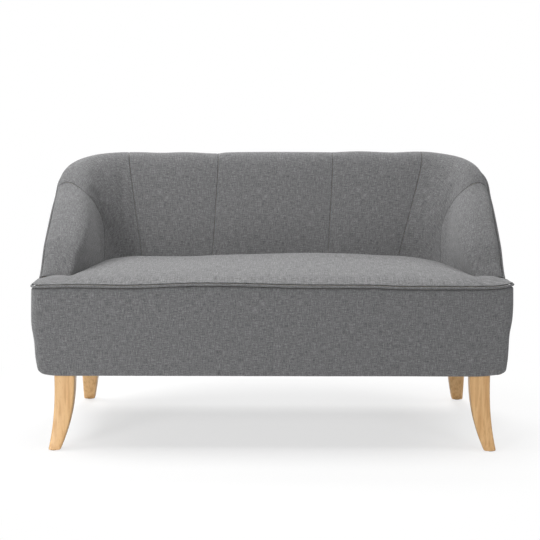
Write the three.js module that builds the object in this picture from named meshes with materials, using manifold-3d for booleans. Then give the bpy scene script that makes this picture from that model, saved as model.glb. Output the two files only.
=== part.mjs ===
// A two-seat settee whose high back sweeps round into sloping arms.
// Timber seat box and back frame, zigzag springs, foam, woven covers with piped edges, and four sabre legs.
// Millimetres, +Z up, the front faces -Y. Depths are measured back from the front border's face,
// and the finished group is then centred over the floor.
import * as THREE from 'three';
import { mergeVertices } from 'three/addons/utils/BufferGeometryUtils.js';
import Module from 'manifold-3d';

const wasm = await Module();
wasm.setup();

// Fits
const CLEARANCE = 0.3; // between pieces that touch
const FOAM_CLEARANCE = 0.8; // between foam and the cover stretched over it
const SEAM_GAP = 0.6; // between neighbouring covers along a seam

// Seat
const BORDER_WIDTH = 1300; // across the front border
const UNDERSIDE_HEIGHT = 213; // floor to the underside of the seat box, which is the legs' height
const SEAT_LINE = 458; // height of the piped front edge of the seat
const EAR_DEPTH = 118; // how far the seat runs back before the arms begin
const EAR_WIDTH = 90; // width of seat in front of each arm
const EAR_PROUD = 12; // how far each ear stands out past the arm's frame
const EAR_RADIUS = 28; // plan radius of the seat's front corners
const SEAT_DEPTH = 487; // front edge to the inside back, at the seat line
const SEAT_CROWN = 14; // how far the seat's middle stands above its edge
const SEAT_CROWN_REACH = 80; // how far back from the front edge the crown takes to rise
const SEAT_TUCK = 7; // how far the seat dips where it meets the arms and back
const SEAT_TUCK_REACH = 60; // how far out from them the dip begins

// Shell: the lines in plan that the frame and the inside face follow, below the knee and at the rim
const BACK_DEPTH = 84; // thickness of the back at the seat line, frame and pad together
const BACK_LEAN = 70; // how far the rim stands behind the frame's foot
const ARM_LEAN = 2.5; // how far each arm frame draws in towards the rim
const BASE_CORNER_REACH = 130; // plan radius of the frame's corners below the knee
const RIM_CORNER_REACH = 183; // how far the rim's corner curve runs along the side
const RIM_TOE_HEIGHT = 461; // height of the rim piping where the arm meets the seat
const RIM_HEIGHT = 733; // height of the rim piping along the back
const CORNER_PANEL_REACH = 192.5; // from the arm frame in to the outer back seam, at the rim
const CORNER_PANEL_LEAN = 59; // how far each outer back seam comes in from rim to seat
const CENTRE_PANEL_WIDTH = 346; // between the inner back seams
const ARM_PAD_DEPTH = 66; // arm thickness at the rim, frame and pad together
const BACK_PAD_DEPTH = 72; // the same for the back
const ARM_SPLAY = 57; // how far each arm's inside face comes in from toe to corner, at the seat
const SEAT_CORNER_REACH = 142; // how far the seat's corner curve runs along the arm
const INSIDE_RIM_REACH = 128; // how far the inside rim's corner curve runs along the arm
const SEAM_DRIFT_TOP = 8; // the back seams sit this far to the right at the rim
const SEAM_DRIFT_SEAT = 9; // and this far to the left at the seat
const ROUNDNESS_SHARE = 0.5523; // curve handle that gives a circular corner

// Height of the rim from toe (0) round the corner (1 to 2) to the back (4), as shares of its rise
const rimRiseShares = [
  [0, 0], [0.09, 0.063], [0.155, 0.133], [0.21, 0.203], [0.276, 0.273], [0.37, 0.339], [0.466, 0.406],
  [0.67, 0.539], [0.786, 0.605], [0.917, 0.672], [1, 0.725], [1.11, 0.82], [1.22, 0.885], [1.33, 0.928],
  [1.5, 0.967], [1.7, 0.99], [2, 1], [4, 1],
];
// Height of the soft roll above the piping, from toe to back
const ROLL_RISE = 25;
const rollRiseShares = [
  [0, 0.35], [0.1, 0.6], [0.3, 0.8], [0.6, 0.9], [1, 0.94], [1.33, 0.97], [2, 1], [4, 1],
];
const ROLL_SQUARENESS_SHARE = 0.86; // below 1, the roll is fuller than half an ellipse

// Upholstery
const COVER = 3; // woven cover with its wadding
const OUTER_COVER = 4; // border and outside covers with their backing
const PANEL_PUFF = 6; // how far each inside panel swells between its seams
const PUFF_DROP_SHARE = 2; // power that puts the swell's fullest place below the roll
const BORDER_SWELL = 3; // how far the border swells at mid height
const OUTSIDE_SWELL = 9; // how far the outside covers swell at mid height
const HEM_TUCK = 15; // how far the covers draw in at their bottom edge
const HEM_REACH = 150; // how far up the draw-in goes
const WELT_DIAMETER = 7;
const WELT_GAP = 3.8; // half the slot that the piping lies in
const DUST_COVER = 1.2;
const HESSIAN = 2;
const FELT = 4;
const FELT_MARGIN = 12; // felt stops this far inside the foam

// Timber
const RAIL_THICKNESS = 24;
const RAIL_HEIGHT = 180;
const BEARER_THICKNESS = 36;
const BEARER_DROP = 60; // the centre bearer stays this far below the springs' rails
const POST_DEPTH = 24;
const POST_WIDTH = 50;
const RIM_RAIL_HEIGHT = 62;
const RIM_EASE = 2.5; // room for the foam lapped over the rim rails
const LEG_BLOCK_WIDTH = 90; // side of each front leg block
const LEG_BLOCK_HEIGHT = 40;
const REAR_BLOCK_OVERLAP = 24; // how far a rear leg block laps its side rail

// Springing
const WIRE = 3.8;
const TIE_WIRE = 3;
const SPRING_COUNT = 7;
const SPRING_BARS = 11; // cross bars in each zigzag
const SPRING_WIDTH = 50;
const SPRING_PITCH = 145; // between neighbouring springs
const CHANNEL_WALL = 1.5;
const CHANNEL_DEPTH = 20;

// Legs
const LEG_TOP_WIDTH = 54;
const LEG_TOP_DEPTH = 48;
const LEG_FOOT_SIZE = 29;
const LEG_CHAMFER = 5;
const FRONT_LEG_INSET = 84; // from the border's side to the middle of a front leg's top
const FRONT_LEG_SETBACK = 47; // from the border's face to the same
const FRONT_KICK = 33; // how far a front foot sweeps out sideways
const FRONT_KICK_FORWARD = 26;
const REAR_LEG_INSET = 95;
const REAR_LEG_SETBACK = 66; // from the frame's rear face to the middle of a rear leg's top
const REAR_KICK = 14;
const REAR_KICK_BACK = 62;
const LEG_SWEEP_SHARE = 2.3; // power of the curve that a leg's middle follows
const LEG_TAPER_SHARE = 1.9; // power of the curve by which it thins
const GLIDE_HEIGHT = 3;
const GLIDE_DIAMETER = 18;
const BOLT_DIAMETER = 8;
const BOLT_DEPTH = 42; // how far each hanger bolt enters its leg
const BOLT_MARGIN = 14; // from a front block's near face to its bolt

// Fineness
const ROLL_STEPS = 6; // over the soft roll
const FACE_STEPS = 4; // down the inside face
const PROFILE_STEPS = ROLL_STEPS + FACE_STEPS + 1;
const ARM_STEPS = 8;
const CORNER_STEPS = 7;
const PANEL_STEPS = 3;
const HALF_CENTRE_STEPS = 2;
const EAR_ARC_STEPS = 4;
const EAR_SIDE_STEPS = 2;
const BORDER_STEPS = 10;
const SPRING_STEPS = 33;
const LEG_STEPS = 9;
const ROD_SIDES = 12;
const WELT_SIDES = 6;
const WIRE_SIDES = 4;
const TINY = 1e-4;

// Finishes
const fabricFinish = { color: 0x7f8184, roughness: 0.95, metalness: 0 };
const legFinish = { color: 0xdcae78, roughness: 0.5, metalness: 0 };
const pineFinish = { color: 0xd8bd8e, roughness: 0.8, metalness: 0 };
const foamFinish = { color: 0xeee4c4, roughness: 1, metalness: 0 };
const feltFinish = { color: 0x77797c, roughness: 1, metalness: 0 };
const hessianFinish = { color: 0xb49a6c, roughness: 1, metalness: 0 };
const cambricFinish = { color: 0x26262a, roughness: 1, metalness: 0 };
const steelFinish = { color: 0xb4b6ba, roughness: 0.35, metalness: 1 };
const nylonFinish = { color: 0xc9c4b8, roughness: 0.6, metalness: 0 };

// Heights through the seat, from the underside up
const coverBottom = UNDERSIDE_HEIGHT + CLEARANCE;
const frameBottom = coverBottom + DUST_COVER + CLEARANCE;
const railTop = frameBottom + RAIL_HEIGHT;
const knee = railTop; // the frame is upright below this and leans above it
const channelBottom = railTop + CLEARANCE;
const springLevel = channelBottom + CHANNEL_WALL + CLEARANCE + WIRE / 2;
const channelTop = springLevel + WIRE / 2 + CLEARANCE + CHANNEL_WALL;
const feltBottom = channelTop + CLEARANCE;
const foamBottom = feltBottom + FELT + CLEARANCE;

// Places across and along the seat box
const halfBorder = BORDER_WIDTH / 2;
const borderFace = OUTER_COVER + CLEARANCE; // from the border's face to the frame line
const halfFoot = halfBorder - EAR_PROUD;
const halfRim = halfFoot - ARM_LEAN;
const baseDepth = SEAT_DEPTH + BACK_DEPTH; // front edge to the back frame, below the knee
const rimDepth = baseDepth + BACK_LEAN;
const outerSeam = halfRim - CORNER_PANEL_REACH; // middle to the outer back seam, at the rim
const railInset = HEM_TUCK + CLEARANCE; // the timber stands in from the frame line, so hems can draw in
const railFace = borderFace + railInset;
const sideFace = halfFoot - railInset;
const postInner = railInset + POST_DEPTH; // from the frame line to the posts' inside face
const hessianFace = postInner + CLEARANCE + HESSIAN;
const foamBack = hessianFace + CLEARANCE;
const cornerX = halfFoot - BASE_CORNER_REACH; // centre of each base corner's curve
const cornerY = baseDepth - BASE_CORNER_REACH;
const rearRailFace = baseDepth - postInner - CLEARANCE;

const at = (x, y) => new THREE.Vector2(x, y);
const lerp = (a, b, t) => a + (b - a) * t;
const lerpPoint = (p, q, t) => new THREE.Vector2(lerp(p.x, q.x, t), lerp(p.y, q.y, t));
const unitShare = (t) => Math.min(1, Math.max(0, t));

function spread(from, to, steps) {
  return Array.from({ length: steps + 1 }, (_, i) => lerp(from, to, i / steps));
}

// Reads a table of [place, value] pairs along a smooth curve that never overshoots its points.
function readTable(table, place) {
  const last = table.length - 1;
  if (place <= table[0][0]) return table[0][1];
  if (place >= table[last][0]) return table[last][1];
  const i = table.findIndex(([p]) => p > place) - 1;
  const slope = (j) => (table[j + 1][1] - table[j][1]) / (table[j + 1][0] - table[j][0]);
  const tangent = (j) => {
    if (j === 0) return slope(0);
    if (j === last) return slope(last - 1);
    const before = slope(j - 1);
    const after = slope(j);
    return before * after <= 0 ? 0 : (2 * before * after) / (before + after);
  };
  const span = table[i + 1][0] - table[i][0];
  const t = (place - table[i][0]) / span;
  const rise = table[i + 1][1] - table[i][1];
  const m0 = tangent(i) * span;
  const m1 = tangent(i + 1) * span;
  return table[i][1] + t * (m0 + t * (3 * rise - 2 * m0 - m1 + t * (m0 + m1 - 2 * rise)));
}

// The left half of a plan line: along the arm, round the corner, then along the back to the middle.
function planLine(toe, turn, corner, meetX) {
  const meet = at(meetX, corner.y);
  const seam = at(-CENTRE_PANEL_WIDTH / 2, corner.y);
  const curve = new THREE.CubicBezierCurve(
    turn,
    lerpPoint(turn, corner, ROUNDNESS_SHARE),
    lerpPoint(meet, corner, ROUNDNESS_SHARE),
    meet,
  );
  return (w) => {
    if (w <= 1) return lerpPoint(toe, turn, w);
    if (w <= 2) return curve.getPoint(w - 1);
    if (w <= 3) return lerpPoint(meet, seam, w - 2);
    return at(lerp(seam.x, 0, w - 3), corner.y);
  };
}
const seatToe = halfBorder - EAR_WIDTH;
const seatTurn = seatToe - ARM_SPLAY;
const seatTurnDepth = SEAT_DEPTH - SEAT_CORNER_REACH;
const splaySlope = ARM_SPLAY / (seatTurnDepth - EAR_DEPTH);
const insideRimX = halfRim - ARM_PAD_DEPTH;
const insideRimY = rimDepth - BACK_PAD_DEPTH;
const frameFoot = planLine(
  at(-halfFoot, EAR_DEPTH), at(-halfFoot, cornerY), at(-halfFoot, baseDepth), -cornerX,
);
const frameRim = planLine(
  at(-halfRim, EAR_DEPTH),
  at(-halfRim, rimDepth - RIM_CORNER_REACH),
  at(-halfRim, rimDepth),
  -outerSeam,
);
const insideSeat = planLine(
  at(-seatToe, EAR_DEPTH),
  at(-seatTurn, seatTurnDepth),
  at(-seatTurn + splaySlope * SEAT_CORNER_REACH, SEAT_DEPTH),
  -outerSeam + CORNER_PANEL_LEAN,
);
const insideRim = planLine(
  at(-insideRimX, EAR_DEPTH),
  at(-insideRimX, insideRimY - INSIDE_RIM_REACH),
  at(-insideRimX, insideRimY),
  -outerSeam,
);

// Travel w runs from the left toe (0) over these to the middle of the back, then the same way to the right.
const stretches = ['arm', 'corner', 'back panel', 'half the centre panel'];
const MIDDLE = stretches.length;
const ROUND = 2 * MIDDLE;
function onLine(line, w) {
  if (w <= MIDDLE) return line(w);
  const p = line(ROUND - w);
  return at(-p.x, p.y);
}
const fromNearToe = (w) => Math.min(w, ROUND - w);
const rimHeight = (w) => lerp(RIM_TOE_HEIGHT, RIM_HEIGHT, readTable(rimRiseShares, fromNearToe(w)));
const rollRise = (w) => ROLL_RISE * readTable(rollRiseShares, fromNearToe(w));
const leanShare = (z) => Math.max(0, (z - knee) / (RIM_HEIGHT - knee));
const faceShare = (z) => Math.max(0, (z - SEAT_LINE) / (RIM_HEIGHT - SEAT_LINE));
const frameAt = (w, z) => lerpPoint(onLine(frameFoot, w), onLine(frameRim, w), leanShare(z));

// The inside face in plan. The cover is pulled a little to one side, so its back seams lean.
function insideAt(w, z) {
  const p = lerpPoint(onLine(insideSeat, w), onLine(insideRim, w), faceShare(z));
  const onBack = unitShare(fromNearToe(w) - 1);
  p.x += onBack * lerp(-SEAM_DRIFT_SEAT, SEAM_DRIFT_TOP, unitShare(faceShare(z)));
  return p;
}

// A point on the frame's outside face, moved out square to it by reach.
function framePoint(w, z, reach) {
  const along = frameAt(Math.min(ROUND, w + TINY), z).sub(frameAt(Math.max(0, w - TINY), z)).normalize();
  const p = frameAt(w, z).add(at(-along.y, along.x).multiplyScalar(reach));
  return new THREE.Vector3(p.x, p.y, z);
}

// Height from the piping's middle to the covers above and below it, which is more where the rim slopes.
function edgeGap(w) {
  const w0 = Math.max(0, w - TINY);
  const w1 = Math.min(ROUND, w + TINY);
  const run = frameAt(w1, RIM_HEIGHT).distanceTo(frameAt(w0, RIM_HEIGHT));
  return WELT_GAP * Math.hypot(1, (rimHeight(w1) - rimHeight(w0)) / run);
}

// The cover's face before it swells. Profile k runs from the piping over the roll (0 to ROLL_STEPS),
// down the inside face to the seat line, and on down behind the seat to the foam's foot.
function facePoint(w, k) {
  const edge = rimHeight(w) + edgeGap(w);
  if (k <= ROLL_STEPS) {
    const outer = framePoint(w, edge, OUTER_COVER);
    const inner = insideAt(w, edge);
    const angle = (Math.PI * k) / ROLL_STEPS;
    const across = Math.sign(Math.cos(angle)) * Math.abs(Math.cos(angle)) ** ROLL_SQUARENESS_SHARE;
    const up = Math.abs(Math.sin(angle)) ** ROLL_SQUARENESS_SHARE;
    return new THREE.Vector3(
      lerp(inner.x, outer.x, (1 + across) / 2),
      lerp(inner.y, outer.y, (1 + across) / 2),
      edge + rollRise(w) * up,
    );
  }
  const down = k - ROLL_STEPS;
  const z = down <= FACE_STEPS
    ? lerp(edge, SEAT_LINE, down / FACE_STEPS)
    : lerp(SEAT_LINE, foamBottom, down - FACE_STEPS);
  const p = insideAt(w, z);
  return new THREE.Vector3(p.x, p.y, z);
}
function faceNormal(w, k) {
  const along = facePoint(Math.min(ROUND, w + TINY), k).sub(facePoint(Math.max(0, w - TINY), k));
  const down = facePoint(w, Math.min(PROFILE_STEPS, k + TINY)).sub(facePoint(w, Math.max(0, k - TINY)));
  return down.cross(along).normalize();
}

// Seams of the inside cover: arm, corner, three back panels, corner, arm
const armSeam = 1 + 1 / CORNER_STEPS;
const seams = [0, armSeam, 2, 3, ROUND - 3, ROUND - 2, ROUND - armSeam, ROUND];
const panelNames = [
  'left_arm_cover', 'left_corner_cover', 'left_back_cover', 'centre_back_cover',
  'right_back_cover', 'right_corner_cover', 'right_arm_cover',
];

// How far the cover stands off its plain face: full between seams, nothing at them or at the seat.
function puff(w, k) {
  const i = Math.max(1, seams.findIndex((seam) => w <= seam + TINY));
  const across = unitShare((w - seams[i - 1]) / (seams[i] - seams[i - 1]));
  const down = unitShare(k / (ROLL_STEPS + FACE_STEPS)) ** PUFF_DROP_SHARE;
  return PANEL_PUFF * Math.sin(Math.PI * across) * Math.sin(Math.PI * down);
}
const skinPoint = (w, k, sink) => facePoint(w, k).addScaledVector(faceNormal(w, k), puff(w, k) - sink);

// Every swept piece has its sections at these stations, so that neighbours' facets lie side by side.
const halfStations = [
  ...spread(0, 1, ARM_STEPS), ...spread(1, 2, CORNER_STEPS).slice(1),
  ...spread(2, 3, PANEL_STEPS).slice(1), ...spread(3, MIDDLE, HALF_CENTRE_STEPS).slice(1),
];
const allStations = [...halfStations, ...halfStations.slice(0, -1).reverse().map((w) => ROUND - w)];
// How much travel covers a length of rim at a place.
function travelFor(w, length) {
  const beside = w + (w < MIDDLE ? TINY : -TINY);
  return (length * TINY) / frameAt(w, RIM_HEIGHT).distanceTo(frameAt(beside, RIM_HEIGHT));
}
// Stations from one place to another, drawn back from each end by a gap.
function stations(from, to, gap = 0) {
  const start = from + travelFor(from, gap);
  const end = to - travelFor(to, gap);
  return [start, ...allStations.filter((w) => w > from + TINY && w < to - TINY), end];
}

// A closed solid between two matching grids of points, joined round their edges.
function shell(top, bottom) {
  const rows = top.length;
  const columns = top[0].length;
  const id = (side, i, j) => side * rows * columns + i * columns + j;
  const index = [];
  const quad = (a, b, c, d) => index.push(a, b, c, a, c, d);
  for (let i = 0; i < rows - 1; i++) {
    for (let j = 0; j < columns - 1; j++) {
      quad(id(0, i, j), id(0, i + 1, j), id(0, i + 1, j + 1), id(0, i, j + 1));
      quad(id(1, i, j), id(1, i, j + 1), id(1, i + 1, j + 1), id(1, i + 1, j));
    }
    const j = columns - 1;
    quad(id(0, i, 0), id(1, i, 0), id(1, i + 1, 0), id(0, i + 1, 0));
    quad(id(0, i, j), id(0, i + 1, j), id(1, i + 1, j), id(1, i, j));
  }
  for (let j = 0; j < columns - 1; j++) {
    const i = rows - 1;
    quad(id(0, 0, j), id(0, 0, j + 1), id(1, 0, j + 1), id(1, 0, j));
    quad(id(0, i, j), id(1, i, j), id(1, i, j + 1), id(0, i, j + 1));
  }
  return facingOut([...top.flat(), ...bottom.flat()], index);
}

// A closed solid through convex rings of points.
function stack(rings) {
  const count = rings[0].length;
  const index = [];
  for (let i = 0; i < rings.length - 1; i++) {
    for (let j = 0; j < count; j++) {
      const a = i * count + j;
      const b = i * count + ((j + 1) % count);
      index.push(a, b, a + count, b, b + count, a + count);
    }
  }
  const end = (rings.length - 1) * count;
  for (let j = 1; j < count - 1; j++) index.push(0, j + 1, j, end, end + j, end + j + 1);
  return facingOut(rings.flat(), index);
}

// A geometry from points and triangles, with every face turned round if it came out inside out.
function facingOut(points, index) {
  let volume = 0;
  for (let i = 0; i < index.length; i += 3) {
    const [a, b, c] = index.slice(i, i + 3).map((j) => points[j]);
    volume += a.dot(new THREE.Vector3().crossVectors(b, c));
  }
  const faces = volume > 0 ? index : [...index].reverse();
  const geometry = new THREE.BufferGeometry();
  geometry.setAttribute('position', new THREE.Float32BufferAttribute(points.flatMap((p) => p.toArray()), 3));
  geometry.setIndex(faces);
  geometry.computeVertexNormals();
  return geometry;
}

// Boolean cuts and joins
function toSolid(geometry) {
  const bare = geometry.clone();
  bare.deleteAttribute('normal');
  bare.deleteAttribute('uv');
  const merged = mergeVertices(bare, TINY);
  return new wasm.Manifold(new wasm.Mesh({
    numProp: 3,
    vertProperties: new Float32Array(merged.getAttribute('position').array),
    triVerts: new Uint32Array(merged.index.array),
  }));
}
function fromSolid(solid) {
  const mesh = solid.getMesh();
  const geometry = new THREE.BufferGeometry();
  geometry.setAttribute('position', new THREE.BufferAttribute(mesh.vertProperties, 3));
  geometry.setIndex([...mesh.triVerts]);
  geometry.computeVertexNormals();
  return geometry;
}
const cut = (geometry, tools) => fromSolid(
  tools.reduce((solid, tool) => solid.subtract(toSolid(tool)), toSolid(geometry)),
);
const join = (geometries) => fromSolid(geometries.map(toSolid).reduce((a, b) => a.add(b)));

const group = new THREE.Group();
function add(name, geometry, finish) {
  const mesh = new THREE.Mesh(geometry, new THREE.MeshStandardMaterial(finish));
  mesh.name = name;
  group.add(mesh);
}
// A box from its lowest to its highest corner.
function boxBetween(low, high) {
  const size = high.map((v, i) => v - low[i]);
  return new THREE.BoxGeometry(...size).translate(...low.map((v, i) => v + size[i] / 2));
}
function uprightRod(x, y, bottom, top, diameter) {
  return new THREE.CylinderGeometry(diameter / 2, diameter / 2, top - bottom, ROD_SIDES)
    .rotateX(Math.PI / 2)
    .translate(x, y, (bottom + top) / 2);
}
// A tube of round section along a smooth curve through points.
function tube(points, diameter, sides, steps) {
  const section = new THREE.Shape(Array.from({ length: sides }, (_, i) => {
    const angle = (2 * Math.PI * i) / sides;
    return at(Math.cos(angle), Math.sin(angle)).multiplyScalar(diameter / 2);
  }));
  const extrudePath = new THREE.CatmullRomCurve3(points);
  return new THREE.ExtrudeGeometry(section, { steps, bevelEnabled: false, extrudePath });
}
// A flat plan outline given a thickness upwards.
function slab(outline, bottom, thickness) {
  const options = { depth: thickness, bevelEnabled: false };
  return new THREE.ExtrudeGeometry(outline, options).translate(0, 0, bottom);
}
// A piece of even thickness that follows the frame, between two reaches and through given heights.
function band(places, levelsAt, outerReach, innerReach) {
  const face = (reach) => places.map((w) => levelsAt(w).map((z) => framePoint(w, z, reach)));
  return shell(face(outerReach), face(innerReach));
}
const sides = [['left', -1], ['right', 1]];
const onSide = (places, side) => (side < 0 ? places : places.map((w) => ROUND - w).reverse());
const boxOnSide = (side, low, high) => (side < 0
  ? boxBetween([-high[0], low[1], low[2]], [-low[0], high[1], high[2]])
  : boxBetween(low, high));

// Inside covers, one to each seamed panel
const profile = spread(0, PROFILE_STEPS, PROFILE_STEPS);
panelNames.forEach((name, i) => {
  const places = stations(seams[i], seams[i + 1], SEAM_GAP / 2);
  const skin = (sink) => places.map((w) => profile.map((k) => skinPoint(w, k, sink)));
  add(name, shell(skin(0), skin(COVER)), fabricFinish);
});

// Foam behind them, wrapped over the rim rails
const overRail = (w) => rimHeight(w) - edgeGap(w);
function foamBackPoint(w, k) {
  const top = overRail(w);
  if (k <= ROLL_STEPS) return framePoint(w, top, (-foamBack * k) / ROLL_STEPS);
  return framePoint(w, lerp(top, foamBottom, (k - ROLL_STEPS) / (PROFILE_STEPS - ROLL_STEPS)), -foamBack);
}
function shellFoam(from, to) {
  const places = stations(from, to, SEAM_GAP / 2);
  return shell(
    places.map((w) => profile.map((k) => skinPoint(w, k, COVER + FOAM_CLEARANCE))),
    places.map((w) => profile.map((k) => foamBackPoint(w, k))),
  );
}
add('left_side_foam', shellFoam(0, 2), foamFinish);
add('back_foam', shellFoam(2, ROUND - 2), foamFinish);
add('right_side_foam', shellFoam(ROUND - 2, ROUND), foamFinish);
add('inside_hessian', band(
  stations(0, ROUND), (w) => [foamBottom, overRail(w) - RIM_EASE], -postInner - CLEARANCE, -hessianFace,
), hessianFinish);

// Outside covers, from the rim piping down to the underside
const lowerShares = [0, 0.06, 0.18, 0.36, 0.6, 1]; // levels up to the knee
const upperShares = [0.3, 0.65, 1]; // levels from the knee to the top edge
function outsideLevels(top) {
  return [
    ...lowerShares.map((share) => lerp(coverBottom, knee, share)),
    ...upperShares.map((share) => lerp(knee, top, share)),
  ];
}
// How far a cover's hem draws in at a height, and how far the cover swells there.
const hemDraw = (z) => HEM_TUCK * (1 - unitShare((z - coverBottom) / HEM_REACH)) ** 2;
const swell = (most, z, top) => most * Math.sin((Math.PI * (z - coverBottom)) / (top - coverBottom));
function outsideCover(from, to) {
  const face = (reachAt) => stations(from, to, SEAM_GAP / 2).map((w) => {
    const top = overRail(w);
    return outsideLevels(top).map((z) => framePoint(w, z, reachAt(z, top)));
  });
  return shell(
    face((z, top) => OUTER_COVER + swell(OUTSIDE_SWELL, z, top) - hemDraw(z)),
    face((z) => -hemDraw(z)),
  );
}
add('left_outside_cover', outsideCover(0, 2), fabricFinish);
add('outside_back_cover', outsideCover(2, ROUND - 2), fabricFinish);
add('right_outside_cover', outsideCover(ROUND - 2, ROUND), fabricFinish);

// Seat outline as columns from front to back: round each ear, along the arms, corners and back
const earRoundShares = [[0, 1], [0.293, 0.293], [1, 0]]; // plan rounding of the ear
const seatWalls = allStations.map((w) => insideAt(w, SEAT_LINE));
function seatColumns(inset) {
  const leftEar = earRoundShares.map(([inShare, backShare]) => ({
    x: -(halfBorder - inset - inShare * EAR_RADIUS),
    front: inset + backShare * EAR_RADIUS,
    back: EAR_DEPTH - CLEARANCE,
  }));
  const walls = seatWalls.map((p) => ({
    x: p.x - Math.sign(p.x) * CLEARANCE,
    front: inset,
    back: p.y - CLEARANCE,
  }));
  const rightEar = [...leftEar].reverse().map((column) => ({ ...column, x: -column.x }));
  return [...leftEar, ...walls, ...rightEar];
}
// Height of the seat above its piped edge: a crown that fades to the sides and front, and a dip by the arms.
function seatHeight(x, y) {
  const sideways = 1 - (x / halfBorder) ** 2;
  const fromFront = 1 - (1 - unitShare(y / SEAT_CROWN_REACH)) ** 2;
  const wallGap = Math.min(...seatWalls.map((p) => p.distanceTo(at(x, y))));
  const tuck = (1 - unitShare(wallGap / SEAT_TUCK_REACH)) ** 2;
  return SEAT_CROWN * sideways * fromFront - SEAT_TUCK * tuck;
}
const rowShares = [0, 0.03, 0.1, 0.22, 0.55, 0.85, 1];
function seatGrid(inset, heightAt) {
  return seatColumns(inset).map(({ x, front, back }) => rowShares.map((share) => {
    const y = lerp(front, back, share);
    return new THREE.Vector3(x, y, heightAt(x, y));
  }));
}
const coverUnderside = (x, y) => SEAT_LINE + WELT_GAP + seatHeight(x, y);
add('seat_cover', shell(
  seatGrid(0, (x, y) => coverUnderside(x, y) + COVER),
  seatGrid(0, coverUnderside),
), fabricFinish);
add('seat_foam', shell(
  seatGrid(borderFace, (x, y) => coverUnderside(x, y) - FOAM_CLEARANCE),
  seatGrid(borderFace, () => foamBottom),
), foamFinish);
add('seat_felt', boxBetween(
  [-seatTurn + FELT_MARGIN, borderFace + FELT_MARGIN, feltBottom],
  [seatTurn - FELT_MARGIN, SEAT_DEPTH - FELT_MARGIN, feltBottom + FELT],
), feltFinish);

// Front border, from arm to arm round the front of the seat box, as places with their outward direction
const borderTop = SEAT_LINE - WELT_GAP;
function borderPath() {
  const left = spread(EAR_DEPTH - CLEARANCE, EAR_RADIUS, EAR_SIDE_STEPS)
    .map((y) => ({ p: at(-halfBorder, y), out: at(-1, 0) }));
  spread(0, Math.PI / 2, EAR_ARC_STEPS).slice(1).forEach((angle) => {
    const out = at(-Math.cos(angle), -Math.sin(angle));
    left.push({ p: at(EAR_RADIUS - halfBorder, EAR_RADIUS).addScaledVector(out, EAR_RADIUS), out });
  });
  const front = spread(EAR_RADIUS - halfBorder, halfBorder - EAR_RADIUS, BORDER_STEPS)
    .slice(1, -1)
    .map((x) => ({ p: at(x, 0), out: at(0, -1) }));
  const right = [...left].reverse().map(({ p, out }) => ({ p: at(-p.x, p.y), out: at(-out.x, out.y) }));
  return [...left, ...front, ...right];
}
const borderPlan = borderPath();
function borderPoint({ p, out }, z, reach) {
  return new THREE.Vector3(p.x + out.x * reach, p.y + out.y * reach, z);
}
const borderLevels = [...lowerShares.map((share) => lerp(coverBottom, knee, share)), borderTop];
const borderGrid = (reachAt) => borderPlan.map(
  (place) => borderLevels.map((z) => borderPoint(place, z, reachAt(z))),
);
add('front_border', shell(
  borderGrid((z) => swell(BORDER_SWELL, z, borderTop) - hemDraw(z)),
  borderGrid((z) => -OUTER_COVER - hemDraw(z)),
), fabricFinish);

// Piping round the rim and along the seat's front edge
const weltReach = WELT_DIAMETER / 2 + FOAM_CLEARANCE;
// Upright rings round the piping's middle, where pointAt gives a place at a reach and height from it.
function weltRing(pointAt, rise) {
  return Array.from({ length: WELT_SIDES }, (_, i) => {
    const angle = (2 * Math.PI * i) / WELT_SIDES;
    return pointAt((WELT_DIAMETER / 2) * Math.cos(angle), (WELT_DIAMETER / 2) * rise * Math.sin(angle));
  });
}
add('rim_piping', stack(allStations.map((w) => weltRing(
  (out, up) => framePoint(w, rimHeight(w), weltReach + out).add(new THREE.Vector3(0, 0, up)),
  edgeGap(w) / WELT_GAP,
))), fabricFinish);
add('seat_piping', stack(borderPlan.map((place) => weltRing(
  (out, up) => borderPoint(place, SEAT_LINE + up, weltReach - OUTER_COVER + out), 1,
))), fabricFinish);

// Seat box rails
const seatBoxLevels = () => [frameBottom, railTop];
const straightRailHalf = halfBorder - EAR_RADIUS;
const railBack = railFace + RAIL_THICKNESS + CLEARANCE;
const footTravel = (x) => 2 + (cornerX - x) / (cornerX - CENTRE_PANEL_WIDTH / 2);
add('front_rail', boxBetween(
  [-straightRailHalf, railFace, frameBottom], [straightRailHalf, railFace + RAIL_THICKNESS, railTop],
), pineFinish);
add('rear_rail', boxBetween(
  [-cornerX, rearRailFace - RAIL_THICKNESS, frameBottom], [cornerX, rearRailFace, railTop],
), pineFinish);
add('centre_bearer', boxBetween(
  [-BEARER_THICKNESS / 2, railBack, frameBottom],
  [BEARER_THICKNESS / 2, rearRailFace - RAIL_THICKNESS - CLEARANCE, railTop - BEARER_DROP],
), pineFinish);
sides.forEach(([name, side]) => {
  add(`${name}_side_rail`, boxOnSide(
    side,
    [sideFace - RAIL_THICKNESS, railBack, frameBottom],
    [sideFace, cornerY - CLEARANCE, railTop],
  ), pineFinish);
  add(`${name}_corner_rail`, band(
    onSide([...stations(1, 2), footTravel(outerSeam + CLEARANCE)], side),
    seatBoxLevels,
    -railInset,
    -postInner,
  ), pineFinish);
});

// Legs, each on a block in the seat box and held by a hanger bolt
const boltHole = BOLT_DIAMETER + 2 * CLEARANCE;
const boltBottom = UNDERSIDE_HEIGHT - BOLT_DEPTH;
const blockTop = frameBottom + LEG_BLOCK_HEIGHT;
const blockFace = sideFace - RAIL_THICKNESS - CLEARANCE;
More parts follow.
